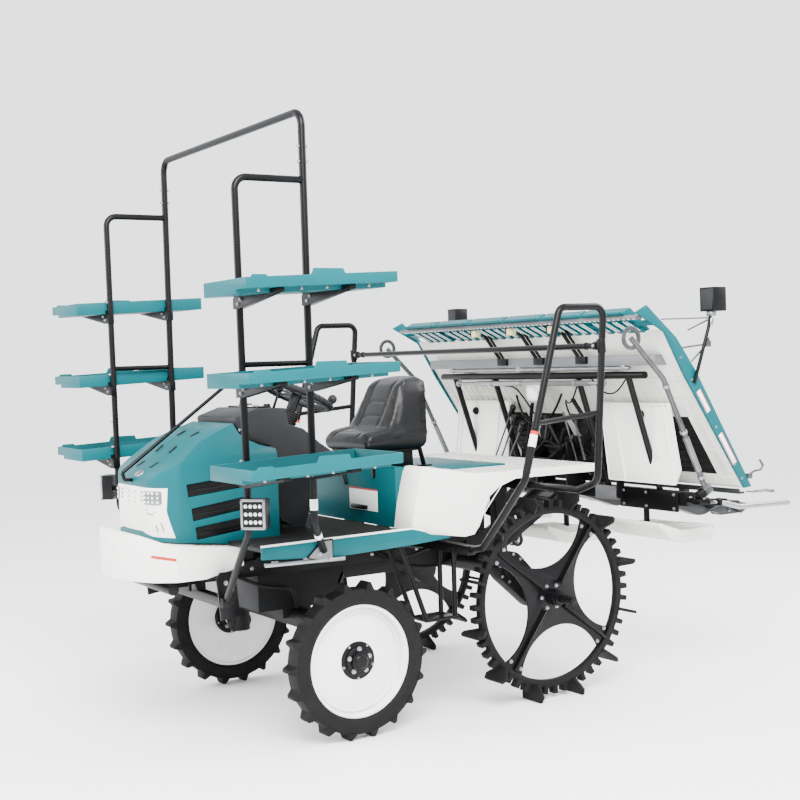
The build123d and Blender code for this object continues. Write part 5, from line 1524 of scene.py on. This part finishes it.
# %% Pad, spokes and knob
pad = bmesh.new()
turned_into(pad, raised(wheel_turn, 0.011), 0.050, 0.036, 0.022, 40)
for number in range(3):
    spoke = wheel_turn @ Matrix.Rotation(2 * pi * number / 3, 4, "Z")
    bmesh.ops.create_cube(pad, size=1, matrix=spoke @ Matrix.Translation((0.092, 0, 0.001))
                          @ Matrix.Diagonal((0.120, 0.030, 0.011, 1)))
knob_place = wheel_turn @ Matrix.Rotation(radians(250), 4, "Z") @ to_rim
turned_into(pad, raised(knob_place, 0.024), 0.010, 0.014, 0.026, 28)
ball_into(pad, raised(knob_place, 0.044), 0.021, 24, 14)
close_piece("steering_pad", pad, "steering", dark_moulding, 0.002)
print("steering wheel dressed")

# %% [markdown]
# ## Undercarriage
# Under the floor are kingpin housings with ring-shaped fins, stays, brake rods, hydraulic hoses,
# cases bolted round their rims and the brackets' bright bolts. Little light falls here, so
# only what stands out of the shadow is made. Bolts in a circle come from a loop over the
# angle, which keeps them evenly spaced on every flange.

# %% Kingpin fins, case rims, rods and bolts
kingpin_x, kingpin_y, _ = pivot["steer_left"]
case_y = 0.500
# Each row: a case's middle, its rim's radius and depth, its bolts, their circle and first angle
case_rims = ((-0.240, 0.590, 0.0480, 0.008, 8, 0.062, 12),
             (rear_wheel_x, 0.4577, 0.0440, 0.007, 10, 0.055, 0))
fins = bmesh.new()
steel = bmesh.new()
rods = bmesh.new()
cases = bmesh.new()
for side in (-1, 1):
    y = side * kingpin_y
    for number in range(5):
        z = 0.392 + 0.017 * number
        bar_into(fins, (kingpin_x, y, z), (kingpin_x, y, z + 0.008), 0.0560, 32)
    bar_into(fins, (kingpin_x, y, 0.478), (kingpin_x, y, 0.500), 0.0400, 28)
    for number in range(4):
        angle = radians(45 + 90 * number)
        bolt_into(steel, (kingpin_x + 0.029 * cos(angle), y + 0.029 * sin(angle), 0.500),
                  (0, 0, 1), 0.0060)
    bar_into(rods, (0.560, side * 0.360, 0.640), (0.640, side * 0.430, 0.560), 0.0075, 12)
    bar_into(rods, (-0.250, side * 0.330, 0.655), (0.360, side * 0.330, 0.742), 0.0070, 12)
    bar_into(rods, (0.110, side * 0.300, 0.700), (0.500, side * 0.270, 0.745), 0.0055, 12)
    for x, z, rim_size, depth, bolt_count, circle, first in case_rims:
        for number in range(bolt_count):
            angle = radians(360 / bolt_count * number + first)
            bolt_into(steel, (x + circle * cos(angle), side * case_y, z + circle * sin(angle)),
                      (0, side, 0), 0.0060)
        bar_into(cases, (x, side * case_y, z), (x, side * (case_y + depth), z), rim_size, 36)
    for x, z in ((1.135, 0.592), (1.100, 0.640), (1.126, 0.668)):
        bolt_into(steel, (x, side * 0.4005, z), (0, side, 0), 0.0080)
    for x, z in ((0.785, 0.784), (0.400, 0.784)):
        bolt_into(steel, (x - 0.021, side * 0.560, z), (-1, 0, 0), 0.0068)
    for x in (-0.390, -0.100, 0.060, 0.300, 0.560, 0.900, 1.100):
        bolt_into(steel, (x, side * 0.1755, 0.675), (0, side, 0), 0.0072)
    for x, z in ((0.112, 0.725), (0.112, 0.700)):
        bolt_into(steel, (x - 0.021, side * 0.620, z + 0.006), (-1, 0, 0), 0.0062)
close_piece("kingpin_fins", fins, "chassis", cast_grey, 0.001)
close_piece("case_rims", cases, "chassis", cast_grey, 0.0015)
close_piece("underbody_bolts", steel, "chassis", zinc, 0.0006)
close_piece("underbody_rods", rods, "chassis", black_steel)
print("underbody: 4 pieces")

# %% Hoses under the floor
front_route = ((1.060, 0.190, 0.700), (1.000, 0.235, 0.660), (0.900, 0.260, 0.610),
               (0.780, 0.240, 0.590), (0.700, 0.180, 0.560), (0.660, 0.120, 0.470))
wire_pieces("chassis", rubber, (
    ("hose_front", 0.0085, front_route),
    ("hose_low", 0.0085, [(x, -y, z) for x, y, z in front_route]),
    ("hose_rear", 0.0080, ((0.300, 0.200, 0.700), (0.220, 0.235, 0.640), (0.100, 0.240, 0.600),
                           (-0.060, 0.215, 0.590), (-0.180, 0.190, 0.640),
                           (-0.220, 0.180, 0.680))),
    ("hose_side", 0.0065, ((0.380, 0.500, 0.742), (0.330, 0.470, 0.700), (0.250, 0.420, 0.690),
                           (0.160, 0.380, 0.700), (0.060, 0.300, 0.690), (0.000, 0.180, 0.690))),
))

# %% [markdown]
# ## Lamps, markers and ends of the planting unit
# The stand's rear lamps are black boxes on bent rods with a bright clamp. The marker arms
# have collars and a spring, and the guard tubes end in knurled grips. These parts sit on
# leaning tubes, so each is placed by its distance along its tube. They ride on the tube's
# own body, which keeps them on it at every pose.

# %% Rear lamp glasses and clamps
glasses = bmesh.new()
clamps = bmesh.new()
stays = bmesh.new()
lamp_y = 1.0073
for side in (-1, 1):
    y = side * lamp_y
    block_into(glasses, (-0.9925, y - 0.034, 1.730), (-0.9905, y + 0.034, 1.822))
    block_into(clamps, (-1.032, y - 0.018, 1.700), (-1.006, y + 0.018, 1.722))
    bar_into(clamps, (-1.018, y, 1.690), (-1.012, y, 1.664), 0.0125, 20)
    bar_into(stays, (-1.014, y, 1.690), (-0.880, side * 1.000, 1.640), 0.0038, 10)
close_piece("rear_lamp_faces", glasses, "stand", dark_moulding, 0.001)
close_piece("rear_lamp_clamps", clamps, "stand", zinc, 0.001)
close_piece("rear_lamp_stays", stays, "stand", dull_steel)
print("rear lamps: 2")

# %% Collars and spring of the markers
for side_name, side in two_sides:
    collars = bmesh.new()
    base = Vector(pivot[f"marker_fold_{side_name}"])
    elbow = Vector((-0.723, side * 1.000, 1.432))
    run = (elbow - base).normalized()
    for along in (0.060, 0.290, 0.520):
        bar_into(collars, base + run * along, base + run * (along + 0.014), 0.0165, 22)
    for number in range(26):
        along = 0.100 + 0.0066 * number
        bar_into(collars, base + run * along, base + run * (along + 0.0036), 0.0148, 14)
    bolt_into(collars, base + run * 0.527 + Vector((0, side * 0.0160, 0)), (0, side, 0), 0.0065)
    close_piece(f"marker_collars_{side_name}", collars, f"arm_{side_name}", zinc, 0.0005)
print("markers dressed: 2")

# %% Grips and clamps of the guard tubes
grips = bmesh.new()
ends = bmesh.new()
guard_y, guard_grip = 1.088, 0.0118
for side in (-1, 1):
    tube = Vector((-1.080, side * guard_y, 0.842))
    tip = Vector((-1.400, side * guard_y, 0.834))
    run = (tip - tube).normalized()
    for number in range(12):
        place = tip - run * (0.012 + 0.0085 * number)
        bar_into(grips, place, place - run * 0.0055, guard_grip, 16)
    for along in (0.040, 0.066, 0.092):
        bar_into(ends, tube + run * along, tube + run * (along + 0.012), guard_grip, 18)
    for x in (-1.005, -0.975):
        block_into(ends, (x - 0.008, side * 1.030, 0.856), (x + 0.008, side * 1.086, 0.884))
close_piece("guard_grips", grips, "planter", black_steel)
close_piece("guard_clamps", ends, "planter", black_steel, 0.001)
print("guard fittings: 2")

# %% Bolts of the planting rotors and their cases
rotor_x = pivot["planting_spin"][0]
rotor_bolts = bmesh.new()
case_bolts = bmesh.new()
for case_middle in (-0.600, 0.0, 0.600):
    for side in (-1, 1):
        y = case_middle + side * 0.150
        for z in (0.776, 0.804):
            bolt_into(rotor_bolts, (rotor_x, y + side * 0.0230, z), (0, side, 0), 0.0050)
        for x, z in ((-1.150, 0.862), (-1.090, 0.850), (rotor_x, 0.824)):
            bolt_into(case_bolts, (x, case_middle + side * 0.035, z), (0, side, 0), 0.0060)
close_piece("rotor_bolts", rotor_bolts, "rotors", zinc, 0.0005)
close_piece("planting_case_bolts", case_bolts, "planter", zinc, 0.0005)
print("planting cases bolted: 3")

# %% [markdown]
# ## Floats
# The floats are blown mouldings, with a seam along each side and ribs on the deck. Both
# could be pressed into the float's own mesh, which has few faces to press. Thin bars sunk
# halfway into it are simpler, and catch the light as a seam does.

# %% Float seams and ribs
seams = bmesh.new()
# Each row: a float's middle, its front end, its half width and its seam's height
float_places = ((0, -0.706, 0.190, 0.637), (0.600, -0.866, 0.210, 0.688),
                (-0.600, -0.866, 0.210, 0.688))
for middle, front_x, half, seam_z in float_places:
    for side in (-1, 1):
        y = middle + side * half
        bar_into(seams, (front_x - 0.100, y, seam_z), (front_x - 0.325, y, seam_z), 0.0035, 10)
    for number in range(5):
        y = middle - half * 0.72 + half * 0.36 * number
        bar_into(seams, (front_x - 0.145, y, seam_z + 0.0305),
                 (front_x - 0.310, y, seam_z + 0.0305), 0.0050, 10)
close_piece("float_seams", seams, "planter", float_shell)
print("floats dressed: 3")
